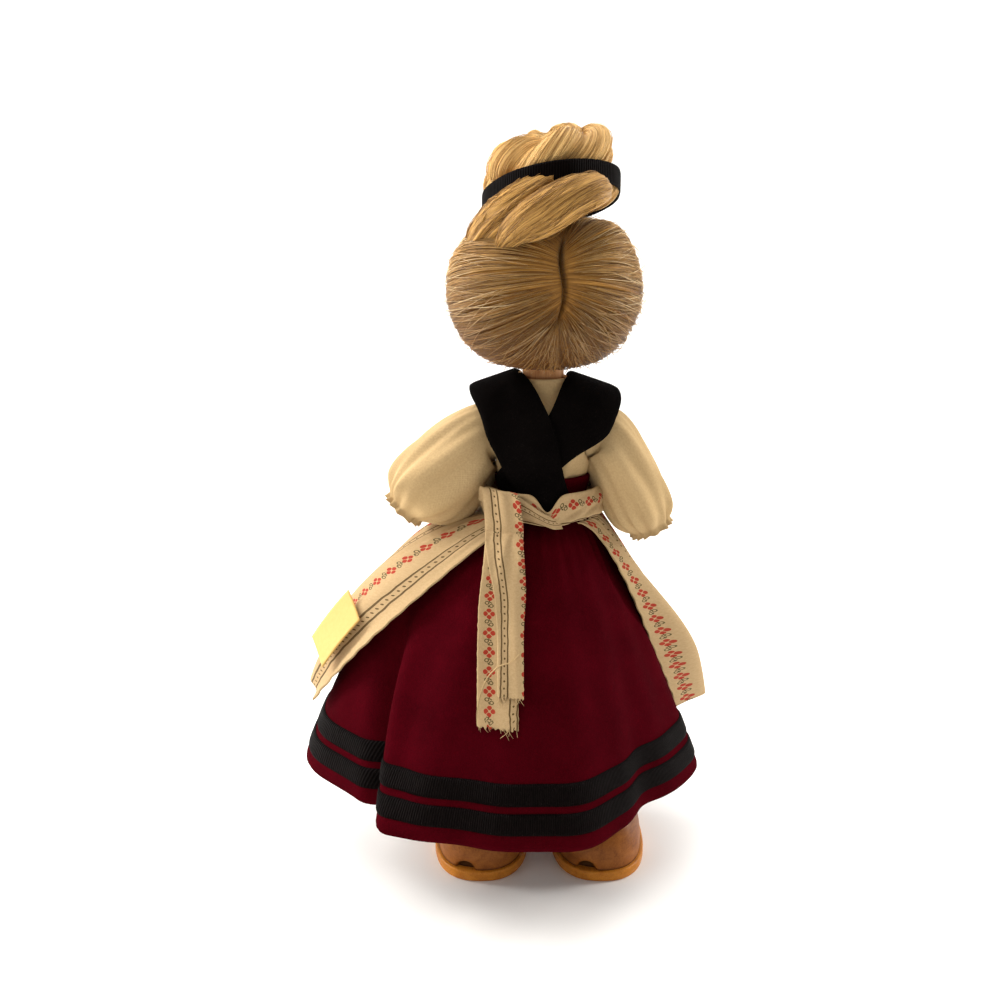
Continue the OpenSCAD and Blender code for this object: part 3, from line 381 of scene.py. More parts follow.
def slab(x):
    """The sole: one outline carried round a rounded edge, from the middle below to the middle above."""
    a = np.linspace(0, 2 * np.pi, 120, endpoint=False)[None, :]
    inset = np.array([8.0, 4.0, 0.7, 0.3, 0.08, 0.0, 0.0, 0.0, 0.08, 0.3, 0.7, 1.6])[:, None]
    height = np.array([0, 0, 0, 0.06, 0.25, 0.6, 1.5, 2.5, 2.8, 2.94, sole_t, sole_t])[:, None]
    ex, ey = shoe_edge(a, inset)
    below, above = (grid(x + 0 * a, shoe_mid, h) for h in (0.0, sole_t))
    return np.concatenate([below, grid(ex + x, ey, height), above])


upper_wood, tree, shader, lines = wood(
    "clog_wood", paint(156, 94, 37), paint(117, 63, 20), 0.45, (np.pi / 2, 0, 0), 0.06)
axes = put(tree, "SeparateXYZ", inputs=[millimetres(tree)])
x, z = axes.outputs["X"], axes.outputs["Z"]
# Painted shade: the upper is darkened just above the sole and inside the gouged arch.
seam_shade = ramp(tree, z, sole_t - 0.1, sole_t + 0.75, 0.85, 0.0)
arches = [spot(tree, x, z, (arch_x + foot, sole_t), (2.7, 2.5)) for foot in (foot_x, -foot_x)]
arch_shade = brush(tree, calc(tree, "MINIMUM", *arches), 0.85, 0.2)
arch_shade = calc(tree, "MULTIPLY", arch_shade, calc(tree, "GREATER_THAN", axes.outputs["Y"], arch_back))
dark = calc(tree, "MAXIMUM", seam_shade, calc(tree, "MULTIPLY", arch_shade, 0.92))
colour_with(tree, shader, blend_paint(tree, dark, lines.outputs["Color"], paint(48, 26, 8)))
sole_wood = wood("sole_wood", paint(206, 134, 48), paint(168, 100, 30), 0.42, (np.pi / 2, 0, 0), 0.06)[0]
for side, x in (("left", foot_x), ("right", -foot_x)):
    upper = lay("clog_" + side, clog(x), upper_wood, wrap=True)
    plank = lay("clog_sole_" + side, slab(x), sole_wood, wrap=True, weld=True)
    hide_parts("shoe_" + side)
    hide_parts("sole_" + side)
    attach(upper, "leg_" + side)
    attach(plank, "leg_" + side)


# Blouse: cream cotton with a low round neck, cut close to the turned torso and open at the armholes,
# where the sleeves are set in. It is put on first, under the dress.
waist_z, shoulder_z, yoke_z = 105.0, 122.0, 135.0
torso_levels = [76, 84, 101, 105, 119.4, 127.85, 135, 136.75]
torso_radii = [11.05, 13, 9.6, 9.6, 11, 10.45, 6.21, 5.4]
blouse_ease, shoulder_more = 0.3, 2.6


def torso_r(z):
    """Radius of the turned torso: each stretch between two measured levels is a smooth step."""
    z = np.asarray(z, float)
    i = np.clip(np.searchsorted(torso_levels, z) - 1, 0, len(torso_levels) - 2)
    low, high = np.array(torso_levels, float)[i], np.array(torso_levels, float)[i + 1]
    r = np.array(torso_radii, float)
    return r[i] + (r[i + 1] - r[i]) * ease((z - low) / (high - low))


def blouse_half(z):
    """Half depth and half width of the blouse: the torso and an ease, wider at the shoulders."""
    depth = torso_r(z) + blouse_ease
    climb = ease((z - waist_z) / (shoulder_z - waist_z))
    return depth, depth + shoulder_more * climb * ease(2 * (yoke_z - z) / (yoke_z - shoulder_z))


def oval(a, z, off):
    """Points around the blouse at an angle from the back, in radians, and a height, moved out by off."""
    depth, width = blouse_half(z)
    return grid((width + off) * np.sin(a), (depth + off) * np.cos(a), z)


def waves(x, seed, count, low, high):
    """A smooth uneven ripple: cosines of chance phase, the whole waves per turn from low to high."""
    chance = np.random.default_rng(seed)
    turns = chance.integers(low, high + 1, count)
    phase = chance.uniform(0, 2 * np.pi, count)
    size = chance.uniform(0.4, 1.0, count)
    x = np.asarray(x, float)
    return sum(s * np.cos(n * x + p) for n, p, s in zip(turns, phase, size)) / np.sqrt(count / 2)


weave, put_in, put_out = new_group(
    "cotton_weave",
    [("Vector", "Vector", None), ("Pitch", "Float", 0.45)],
    [("Height", "Float"), ("Slub", "Float")])
place = put(weave, "SeparateXYZ", inputs=[put_in.outputs["Vector"]])
turn = calc(weave, "DIVIDE", 2 * np.pi, put_in.outputs["Pitch"])
warp = calc(weave, "SINE", calc(weave, "MULTIPLY", place.outputs["X"], turn))
weft = calc(weave, "SINE", calc(weave, "MULTIPLY", place.outputs["Y"], turn))
slub = mottle(weave, put_in.outputs["Vector"], 1.8, 5.0, 0.75)
thread = calc(weave, "MULTIPLY", warp, weft)
weave.links.new(calc(weave, "MULTIPLY_ADD", thread, 0.35, slub), put_out.inputs["Height"])
weave.links.new(slub, put_out.inputs["Slub"])


def cloth_place(tree):
    """The cloth's own flat coordinates, in millimetres."""
    return put(tree, "UVMap", {"uv_map": "UVMap"}).outputs[0]


cream_cotton, tree, shader = new_material("cream_cotton", 0.9, Specular_IOR_Level=0.15)
threads = use(tree, weave, {"Vector": cloth_place(tree), "Pitch": 0.5})
soil = calc(tree, "MULTIPLY", mottle(tree, millimetres(tree), 0.08, 3.0), 0.45)
colour = blend_paint(tree, threads.outputs["Slub"], paint(150, 122, 82), paint(214, 187, 142))
colour_with(tree, shader, blend_paint(tree, soil, colour, paint(178, 146, 96)))
bump(tree, shader, threads.outputs["Height"], 0.5, 0.00015)

blouse_low, neck_z, blouse_off, girth = 101.4, 137.0, 0.7, 78.0
armhole_r, chest_half = 8.0, 9.0
a = np.linspace(0, 2 * np.pi, 128, endpoint=False)[None, :]
z = np.linspace(blouse_low, neck_z, 56)[:, None]
neck_roll = 0.35 * ease(z - (neck_z - 1.0))
crease = 0.18 * waves(a + 0.03 * z, 3, 8, 5, 17) * ease((134 - z) / 12) + neck_roll
body = oval(a, z, blouse_off + crease)
whole = body[..., 1] ** 2 + (body[..., 2] - shoulder_z) ** 2 > armhole_r ** 2
whole = whole | (np.abs(body[..., 0]) < chest_half)
beside = np.roll(whole, -1, 1)
keep = whole[:-1] & whole[1:] & beside[:-1] & beside[1:]
uv = grid(np.linspace(0, girth, 129)[None, :], z)
blouse = lay("blouse_body", body, cream_cotton, uv, wrap=True, thick=0.5, keep=keep)
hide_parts("blouse")
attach(blouse, "torso")


# Dress: one garment of dark burgundy wool, a close bodice and a full bell skirt gathered at the waist.
# The skirt is pushed out to the doll's left, where one deep fold tucks behind the back panel.
fuzz, put_in, put_out = new_group(
    "wool_fuzz",
    [("Vector", "Vector", None), ("Size", "Float", 1.0)],
    [("Height", "Float"), ("Shade", "Float")])
nap = mottle(fuzz, put_in.outputs["Vector"], put_in.outputs["Size"], 6.0, 0.75)
patch = mottle(fuzz, put_in.outputs["Vector"], 0.12, 3.0)
shade = calc(fuzz, "MULTIPLY_ADD", nap, 0.6, calc(fuzz, "MULTIPLY", patch, 0.4))
fuzz.links.new(nap, put_out.inputs["Height"])
fuzz.links.new(shade, put_out.inputs["Shade"])


def woolly(name, dark, pale, size, strength=0.6):
    """A matte napped cloth, whose fibres show as a fine uneven shade."""
    material, tree, shader = new_material(name, 0.95, Specular_IOR_Level=0.01)
    nap = use(tree, fuzz, {"Vector": millimetres(tree), "Size": size})
    tone = ramp(tree, nap.outputs["Shade"], 0.3, 0.7)
    colour_with(tree, shader, blend_paint(tree, tone, dark, pale))
    bump(tree, shader, nap.outputs["Height"], strength, 0.0003)
    return material


burgundy_wool = woolly("burgundy_wool", paint(47, 1, 6), paint(71, 3, 13), 2.2)
bodice_low, bodice_top, bodice_off = 101.2, 112.0, 1.9
z = np.linspace(bodice_low, bodice_top, 20)[:, None]
turned_in = 0.6 * ease((z - bodice_top + 0.8) / 0.8)
body = oval(a, z, bodice_off - turned_in)
uv = grid(np.linspace(0, girth, 129)[None, :], z)
bodice = lay("dress_bodice_wool", body, burgundy_wool, uv, wrap=True, thick=0.7)
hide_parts("dress_bodice")
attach(bodice, "torso")


def around(table, angle):
    """A smooth closed curve through evenly spaced values on a ring, read at angles in degrees."""
    table = np.asarray(table, float)
    n = len(table)
    p = np.asarray(angle, float) / 360 * n
    i = np.floor(p).astype(int)
    return cubic(*(table[(i + k) % n] for k in (-1, 0, 1, 2)), p - i)


hem_shares = [1, 1.02, 1.06, 1.11, 1.16, 1.26, 1.38, 1.41, 1.35, 1.25, 1.17, 1.1,
              1.08, 1.06, 1.04, 1, 0.97, 0.94, 0.91, 0.9, 0.88, 0.87, 0.92, 0.97]
fold_shares = [0, 0, 0, 0.2, -0.2, -0.15, 0.1, -0.1, 0.15, -0.2, 0.2, -0.2,
               0.2, -0.2, 0.2, -0.15, 0.15, -0.1, 0.1, 0, -0.35, -0.5, -0.25, 0.1]
bell_shares = [0.75, 0.64, 0.5, 0.54, 0.62, 0.7, 0.84, 0.82]
lift_shares = [0, 0, 0.2, 0.9, 0.7, 0.4, 0, 0]
skirt_top_z, skirt_top_r, hem_r, hem_z, hem_lift = 100.8, 11.7, 48.0, 26.0, 7.0
fold_d, tuck_angle, tuck_swing, tuck_lip, tuck_d = 9.0, 48.0, 24.0, 2.4, 6.0
cloth_round, cloth_fall = 320.0, 95.0


def skirt_hem_z(angle):
    """Height of the hem: level at the back and lifted to the doll's left."""
    return hem_z + hem_lift * around(lift_shares, angle)


def skirt_bell(angle, t):
    """Radius of the bell without folds: from the waist to the hem by a power of the fall t."""
    hem = hem_r * around(hem_shares, angle)
    return skirt_top_r + (hem - skirt_top_r) * np.maximum(t, 0) ** around(bell_shares, angle)


def skirt_r(angle, t):
    """Radius of the skirt: the bell, folds by the square of the fall, ripples, gathers and the deep tuck."""
    x = np.radians(angle)
    folds = fold_d * around(fold_shares, angle) * t ** 2
    soft = 0.5 * waves(x, 11, 9, 7, 19) * ease(t / 0.5)
    gathers = 0.4 * waves(x, 12, 8, 26, 44) * np.exp(-((t - 0.06) / 0.12) ** 2)
    past = angle - tuck_angle - tuck_swing * (1 - t)
    tuck = tuck_lip * np.exp(-(past / 5.0) ** 2) - tuck_d * np.exp(-((past - 9.5) / 4.0) ** 2)
    return skirt_bell(angle, t) + folds + soft + gathers + tuck * ease((t - 0.2) / 0.55)


def polar(r, angle, z):
    """Points at a distance from the doll's axis, an angle from its back in degrees, and a height."""
    return grid(r * np.sin(np.radians(angle)), r * np.cos(np.radians(angle)), z)


def skirt_point(angle, t, off):
    """A point on the skirt at an angle from the back and a fall t, moved out by off."""
    z = skirt_top_z + (skirt_hem_z(angle) - skirt_top_z) * t
    return polar(skirt_r(angle, t) + off, angle, z)


angle = np.linspace(0, 360, 360, endpoint=False)[None, :]
t = np.concatenate([np.linspace(0, 0.99, 90), [0.995, 1.0]])[:, None]
hem_roll = -0.9 * ease((t - 0.985) / 0.015)
uv = grid(np.linspace(0, cloth_round, 361)[None, :], cloth_fall * t)
skirt = lay("skirt_wool", skirt_point(angle, t, hem_roll), burgundy_wool, uv, wrap=True, thick=0.8)
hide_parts("skirt")
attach(skirt, "torso")


# Hem ribbons: two rows of narrow black corded ribbon sewn around the skirt above its hem, with a strip
# of wool between them. They follow every fold of the skirt.
ribs, put_in, put_out = new_group(
    "ribbon_ribs",
    [("Vector", "Vector", None), ("Pitch", "Float", 0.62)],
    [("Height", "Float"), ("Shade", "Float")])
place = put(ribs, "SeparateXYZ", inputs=[put_in.outputs["Vector"]])
turn = calc(ribs, "DIVIDE", 2 * np.pi, put_in.outputs["Pitch"])
cords = calc(ribs, "SINE", calc(ribs, "MULTIPLY", place.outputs["X"], turn))
worn = mottle(ribs, put_in.outputs["Vector"], 0.8, 4.0)
ribs.links.new(cords, put_out.inputs["Height"])
ribs.links.new(calc(ribs, "MULTIPLY_ADD", cords, 0.25, worn), put_out.inputs["Shade"])
black_ribbon, tree, shader = new_material("black_ribbon", 0.7, Specular_IOR_Level=0.03)
rows = use(tree, ribs, {"Vector": cloth_place(tree), "Pitch": 0.62})
tone = ramp(tree, rows.outputs["Shade"], 0.2, 0.9)
colour_with(tree, shader, blend_paint(tree, tone, paint(4, 2, 2), paint(15, 9, 8)))
bump(tree, shader, rows.outputs["Height"], 0.5, 0.0002)

bare_w, lower_w, between_w, upper_w = 4.1, 5.0, 1.6, 5.2
upper_low = bare_w + lower_w + between_w
bands = []
for name, low, wide in (("lower", bare_w, lower_w), ("upper", upper_low, upper_w)):
    t = 1 - np.linspace(low + wide, low, 9)[:, None] / (skirt_top_z - hem_z)
    edge = 0.55 - 0.35 * np.linspace(-1, 1, 9)[:, None] ** 8
    uv = grid(np.linspace(0, cloth_round, 361)[None, :], cloth_fall * t)
    strip = skirt_point(angle, t, edge)
    ribbon = lay("hem_ribbon_" + name + "_corded", strip, black_ribbon, uv, wrap=True, thick=0.35)
    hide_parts("hem_ribbon_" + name)
    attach(ribbon, "torso")
    bands.append(ribbon)


# Felt bodice: black felt cut in two straps that run from the front of the waist over the shoulders and cross
# at the back, the left one on top, with a front panel between them. Felt is cut, so its edges are raw.
felt_t, felt_low, felt_high, felt_foot_z, band_top_z = 1.2, 2.4, 3.9, 101.0, 109.0
strap_w, strap_len, strap_in, strap_out, strap_rise, strap_fall = 17.0, 95.0, 7.6, 19.0, 1.4, 4.0
draw_front, draw_back = 0.22, 0.12


def felt_y(x, z, off):
    """Distance of a felt sheet from the middle plane: the blouse's oval, flatter towards the shoulders."""
    depth, width = blouse_half(np.minimum(z, shoulder_z))
    d = depth - blouse_ease + off
    w = (width - blouse_ease + off) * (1 + 2 * ease((z - band_top_z) / 17))
    return d * np.sqrt(np.maximum(0.05, 1 - (x / w) ** 2))


def strap_point(s, u, mids, front_off, back_off):
    """A point on a strap at share s of its run and u of its width.

    The first third climbs the front, the middle third turns over the shoulder in half a circle, and the
    last third comes down the back while its middle line slants across. Above the waist it is drawn in to
    the blouse by a share of its distance.
    """
    x = strap_out * along(mids, s) + strap_w * along([0.46, 0.46, 0.47, 0.78, 1.03, 0.87, 0.76], s) * u
    slope = np.clip((x - strap_in) / (strap_out - strap_in), 0, 1)
    top_z = yoke_z + strap_rise - strap_fall * slope
    turn = np.clip((s - 1 / 3) * 3, 0, 1)
    off = front_off + (back_off - front_off) * ease(turn)
    cap_z = shoulder_z + 2.6
    up = felt_foot_z + (cap_z - felt_foot_z) * np.clip(s * 3, 0, 1)
    down = cap_z + (felt_foot_z - cap_z) * np.clip(s * 3 - 2, 0, 1)
    over = cap_z + (top_z + off - felt_low - cap_z) * np.sin(np.pi * turn)
    climbs, turns_over = s <= 1 / 3, s <= 2 / 3
    z = np.where(climbs, up, np.where(turns_over, over, down))
    y = np.where(turns_over, -np.cos(np.pi * turn) * felt_y(x, shoulder_z, off), felt_y(x, down, back_off))
    y = np.where(climbs, -felt_y(x, up, front_off), y)
    close = np.where(y < 0, draw_front, draw_back) * ease((z - 108) / 12)
    close = close * np.abs(np.cos(np.pi * turn)) * ease((15 - x) / 6)
    return grid(x, y * (1 - close), z)


black_felt = woolly("black_felt", paint(4, 3, 3), paint(15, 12, 11), 3.0, 0.9)
s = np.linspace(0, 1, 110)[:, None]
u = np.linspace(-0.5, 0.5, 22)[None, :]
cut = 0.006 * waves(9 * s, 21, 6, 3, 9)
edge = felt_t - 0.35 * np.abs(2 * u) ** 14
over_mids = [0.36, 0.39, 0.43, 0.67, 0.325, 0.12, -0.13]
under_mids = [0.36, 0.39, 0.43, 0.69, 0.41, -0.25, -0.06]
for side, mids, back_off, mirror in (("left", over_mids, felt_high, 1), ("right", under_mids, felt_low, -1)):
    sheet = strap_point(s, u + cut * 2 * u, mids, felt_high + edge, back_off + edge) * [mirror, 1, 1]
    uv = grid(strap_w * u, strap_len * s)
    strap = lay("felt_strap_" + side, sheet, black_felt, uv, thick=1.0, inside=(0, 0, 115))
    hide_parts("strap_" + side)
    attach(strap, "torso")

panel_half, panel_h, panel_turn, panel_side_z = 10.56, 21.0, np.radians(70), waist_z + 12.75
v = np.linspace(0, 1, 30)[:, None]
u = np.linspace(-1, 1, 32)[None, :]
z = felt_foot_z + (shoulder_z + (panel_side_z - shoulder_z) * u ** 2 - felt_foot_z) * v
x = panel_half * np.sin(panel_turn * u) / np.sin(panel_turn)
panel = grid(x, -felt_y(x, z, felt_low + felt_t), z)
uv = grid(11 * u, panel_h * v)
front = lay("felt_front_panel", panel, black_felt, uv, thick=1.0, inside=(0, 0, 115))
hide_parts("felt_front")
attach(front, "torso")


# Apron and its band: cream cotton with a small folk print, pairs of thin lines with dots between them and
# sprigs of four red petals in rows. The apron is gathered to the band and wraps round both sides, where its
# free edges fall forward.
print_cloth, put_in, put_out = new_group("folk_print", [("Vector", "Vector", None)], [("Color", "Color")])
place = put(print_cloth, "SeparateXYZ", inputs=[put_in.outputs["Vector"]])
row_pitch, sprig_pitch, dot_pitch = 12.0, 4.9, 1.9


def plot(operation, *values):
    """One sum in the print's own tree."""
    return calc(print_cloth, operation, *values)


def repeat(value, pitch, start=0.0):
    """Distance along a repeat, from minus half a pitch to plus half."""
    return plot("SUBTRACT", plot("FLOORED_MODULO", plot("ADD", value, start), pitch), pitch / 2)


def motif(x, y, centre, half, lean=0.0):
    """How far a point lies from the middle of a small oval that leans by an angle: 1 on its edge."""
    dx, dy = plot("SUBTRACT", x, centre[0]), plot("SUBTRACT", y, centre[1])
    c, n = float(np.cos(lean)), float(np.sin(lean))
    across = plot("MULTIPLY_ADD", dx, c / half[0], plot("MULTIPLY", dy, n / half[0]))
    up = plot("MULTIPLY_ADD", dx, -n / half[1], plot("MULTIPLY", dy, c / half[1]))
    return plot("SQRT", plot("MULTIPLY_ADD", across, across, plot("MULTIPLY", up, up)))


def inked(distance, edge=1.0):
    """Printed where the distance is under the edge."""
    return plot("LESS_THAN", distance, edge)


def together(*covers):
    """The union of several printed shapes."""
    total = covers[0]
    for cover in covers[1:]:
        total = plot("MAXIMUM", total, cover)
    return total


wander = mottle(print_cloth, put_in.outputs["Vector"], 0.25, 1.0)
across = plot("MULTIPLY_ADD", wander, 0.5, place.outputs["X"])
line_x = repeat(across, row_pitch, row_pitch / 2)
sprig_x = repeat(across, row_pitch)
down = repeat(place.outputs["Y"], sprig_pitch)
dot_y = repeat(place.outputs["Y"], dot_pitch)
pair = plot("ABSOLUTE", plot("SUBTRACT", plot("ABSOLUTE", line_x), 0.88))
lines = together(inked(pair, 0.21), inked(motif(line_x, dot_y, (0, 0), (0.28, 0.28))))
petal_y = plot("SUBTRACT", down, 1.0)
side_petal, end_petal = (0.58, 0.64), (0.64, 0.56)
petals = together(*(inked(motif(sprig_x, petal_y, centre, half)) for centre, half in (
    ((-0.88, 0), side_petal), ((0.88, 0), side_petal), ((0, -0.84), end_petal), ((0, 0.84), end_petal))))
slant = plot("SUBTRACT", plot("ABSOLUTE", sprig_x), plot("ABSOLUTE", petal_y))
flowers = plot("MULTIPLY", petals, plot("GREATER_THAN", plot("ABSOLUTE", slant), 0.1))
curls = [plot("ABSOLUTE", plot("SUBTRACT", motif(sprig_x, down, centre, (0.46, 0.4)), 1.0))
         for centre in ((0.62, -1.0), (-0.5, -1.75))]
stalks = together(inked(curls[0], 0.3), inked(curls[1], 0.3),
                  inked(motif(sprig_x, down, (0.02, -0.5), (0.14, 0.42), 0.3)),
                  inked(motif(sprig_x, down, (-0.35, -0.9), (0.36, 0.16), 0.5)),
                  inked(motif(sprig_x, down, (0.2, -1.9), (0.14, 0.38), -0.5)))
ground = mottle(print_cloth, put_in.outputs["Vector"], 1.6, 5.0, 0.75)
colour = blend_paint(print_cloth, ground, paint(146, 118, 82), paint(194, 167, 125))
for cover, strength, ink in ((lines, 0.85, paint(62, 42, 16)), (stalks, 0.85, paint(52, 46, 20)),
                             (flowers, 0.9, paint(150, 16, 12))):
    colour = blend_paint(print_cloth, plot("MULTIPLY", cover, strength), colour, ink)
print_cloth.links.new(colour, put_out.inputs["Color"])

printed_cotton, tree, shader = new_material("printed_cotton", 0.9, Specular_IOR_Level=0.15)
pattern = use(tree, print_cloth, {"Vector": cloth_place(tree)})
threads = use(tree, weave, {"Vector": cloth_place(tree), "Pitch": 0.5})
colour_with(tree, shader, pattern.outputs["Color"])
bump(tree, shader, threads.outputs["Height"], 0.45, 0.00015)

apron_drop, apron_off, apron_flare, apron_fold, apron_folds, apron_lift = 56.0, 3.0, 9.0, 1.6, 7, 0.7


def skirt_t(angle, z):
    """The fall of the skirt at a height."""
    return np.clip((skirt_top_z - z) / (skirt_top_z - skirt_hem_z(angle)), 0, 1)


def apron_point(u, t):
    """A point on the apron at u across, from its right edge at -1 to its left at 1, and t down.

    It stands off the skirt's bell by a flare that grows downwards and by even folds; its two free edges
    swing forward from the back of the waist to the sides of the hem.
    """
    left = u > 0
    across = (u + 1) / 2
    top, low = np.where(left, 154, 146), np.where(left, 92, 77)
    a = 180 - u * (top + (low - top) * np.sqrt(t))
    z = skirt_top_z - apron_drop * t * along([1.1, 1.14, 1.08, 1.06, 1.08, 1.06, 1.02, 0.98, 0.97], across)
    most = apron_flare * (along([-0.05, 0.85, 0.6, 0.4, 0.3, 0.35, 0.6, 0.8, 0.3], across)
                          + 0.75 * np.exp(-((u + 0.86) / 0.09) ** 2))
    flare = apron_off + (most - apron_off) * ease(1.3 * t)
    fold = apron_fold * (1 + np.cos(2 * np.pi * apron_folds * u)) / 2 * ease(1.4 * t) * ease((u + 1) / 0.07)
    gathers = 0.35 * waves(20 * u, 31, 7, 3, 7) * np.exp(-((t - 0.08) / 0.14) ** 2)
    rim = np.exp(-((1 - np.abs(u)) / 0.02))
    curl = 0.7 * rim * ease(5 * t) * left + 0.25 * rim * np.sin(70 * t)
    r = skirt_bell(a, skirt_t(a, z)) + flare + fold + gathers + curl + apron_lift
    return polar(r, a, z)


u = np.linspace(-1, 1, 321)[None, :]
t = np.linspace(0, 1, 90)[:, None] ** 1.5
half_round, apron_fall = 84.0, 72.0
inner = 1 - np.abs(u)
shift = 7.6 * ease((-u - 0.3) / 0.5) - 4.6
uv = grid(half_round * (inner - 0.25 * (1 - np.exp(-inner / 0.5))) + shift, -apron_fall * t)
apron = lay("apron_cloth", apron_point(u, t), printed_cotton, uv, thick=0.5, inside=(0, 0, 70))
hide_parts("apron")
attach(apron, "torso")

band_low_z, band_r, band_w, band_round = 101.0, 16.3, 9.0, 100.0
a = np.linspace(-180, 180, 240, endpoint=False)[None, :]
v = np.linspace(0, 1, 26)[:, None]
dip = 4.6 * np.exp(-((a + 3) / 9.0) ** 2)
low = band_low_z + 0.5 * waves(np.radians(a), 41, 5, 2, 6)
puff = 0.55 * np.sin(np.pi * v) + 0.25 * np.cos(2 * np.pi * 2.0 * v + np.radians(a) * 2)
turned = -0.5 * np.abs(2 * v - 1) ** 10
r = band_r + puff + turned + 0.12 * waves(np.radians(a) + v, 42, 6, 9, 22)
uv = grid(band_w * v, np.linspace(0, band_round, 241)[None, :])
ring = polar(r, a, low + (band_top_z - dip - low) * v)
band = lay("apron_band_cloth", ring, printed_cotton, uv, wrap=True, thick=0.6)
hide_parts("apron_band")
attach(band, "torso")


# Sash knot and tails: a torn strip of the print lies slantwise over the band, and at the knot it is drawn up
# behind the band, over its top edge and down outside as the short tail. The long tail hangs under that one.
# The torn ends fray, and one thread has come loose.
knot_x, knot_r = 12.0, 18.5
tail_top_z, tail_clear, tail_settle = 100.0, 6.7, 22.0
wrap_low_z, wrap_top_z, wrap_r, wrap_from, wrap_turn = 104.0, 109.3, 17.7, 27.0, 45.0


def knot_loop():
    """The loop: a strip that climbs behind the band, turns over its top edge and comes down outside.

    Its distance from the band follows a curve along the run, and it bends around the waist with it; two
    pleats run along it.
    """
    s = np.linspace(0, 1, 60)[:, None]
    u = np.linspace(-0.5, 0.5, 30)[None, :]
    x = knot_x - 1.7 * ease(s) + (9.2 + 0.6 * s) * u
    off = along([-1.6, -1.0, 0.4, 1.4, 1.9, 2.3, 2.6], s)
    pleat = 0.35 * np.cos(2 * np.pi * 2.1 * u + 0.6) * np.sin(np.pi * s)
    y = np.sqrt((knot_r + off + pleat) ** 2 - (0.92 * x) ** 2)
    z = along([105.5, 109.0, 110.0, 108.6, 105.2, 102.2, 99.7], s) + 0.5 * u * np.sin(np.pi * s)
    return grid(x, y, z), grid(9.8 * u - 1.9, 14 - 18 * s)


def tail_point(u, t, widths, xs, drop, lift):
    """A point on a sash tail: it hangs just outside the skirt, clear of the knot at its top, and ripples."""
    z = tail_top_z + (waist_z - drop - tail_top_z) * t
    fall = (tail_top_z - z) / tail_settle
    wide = widths[0] + (widths[1] - widths[0]) * ease(t / 0.7)
    x = xs[0] + (xs[1] - xs[0]) * ease(t / 0.45) + wide * u
    over = tail_clear * (1 - ease(fall))
    guess = np.degrees(np.arctan2(x, 15.5 + 24 * t))
    a = np.degrees(np.arcsin(np.clip(x / (skirt_r(guess, skirt_t(guess, z)) + over), -0.9, 0.9)))
    ripple = 0.3 * np.sin(np.pi * fall) * u + 0.22 * np.cos(2 * np.pi * 1.4 * u + 3 * t) * ease(2 * t)
    y = (skirt_r(a, skirt_t(a, z)) + over + lift) * np.cos(np.radians(a)) + ripple
    return grid(x, y, z)


def unit(v):
    """A direction of length one."""
    return v / np.linalg.norm(v, axis=-1, keepdims=True)


def strands(name, paths, radius, material, middle):
    """Thin three-sided threads along many paths, each tapering to a point at both ends.

    The section at each point stands square to the path, with one corner away from the middle. Each thread
    lies at its own chance place across the pattern and runs 30 mm along it.
    """
    n, m = paths.shape[:2]
    way = unit(np.gradient(paths, axis=1))
    side = unit(np.cross(way, paths - np.asarray(middle, float)))
    over = np.cross(side, way)
    corner = 2 * np.pi * np.arange(3)[:, None] / 3
    ring = side[:, :, None] * np.sin(corner) + over[:, :, None] * np.cos(corner)
    taper = np.sin(np.pi * np.linspace(0.02, 0.98, m)) ** 0.4
    r = np.broadcast_to(radius, (n,))[:, None] * taper
    hub = paths[:, :, None]
    tips = hub + 0 * ring
    rings = np.concatenate([tips[:, :1], hub + ring * r[..., None, None], tips[:, -1:]], 1)
    across = np.random.default_rng(n).uniform(0, 900, (n, 1, 1))
    uv = grid(across + np.zeros((1, 1, 4)), np.linspace(0, 30, m)[None, :, None])
    uv = np.concatenate([uv[:, :1], uv, uv[:, -1:]], 1)
    return lay(name, rings, material, uv, wrap=True, weld=True)


def sash_wrap():
    """The sash's other end: a strip laid slantwise over the band from the knot down to the doll's right.

    It keeps a little off the band, with two lengthwise pleats, and dives under it at its far end.
    """
    s = np.linspace(0, 1, 40)[:, None]
    v = np.linspace(0, 1, 24)[None, :]
    low = wrap_low_z - 4.3 * ease(s)
    z = low + (wrap_top_z - 6.2 * ease(s) - low) * v
    r = wrap_r + 0.4 * np.sin(np.pi * v) + 0.2 * np.cos(5 * np.pi * v) - 1.9 * ease((s - 0.72) / 0.28)
    return polar(r, wrap_from - wrap_turn * s + 5 * v, z), grid(6.4 * v - 3.4, 22 * s)


points, uv = sash_wrap()
wrap = lay("sash_wrap_cloth", points, printed_cotton, uv, thick=0.45, inside=(0, 0, waist_z))
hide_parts("sash_knot")
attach(wrap, "torso")

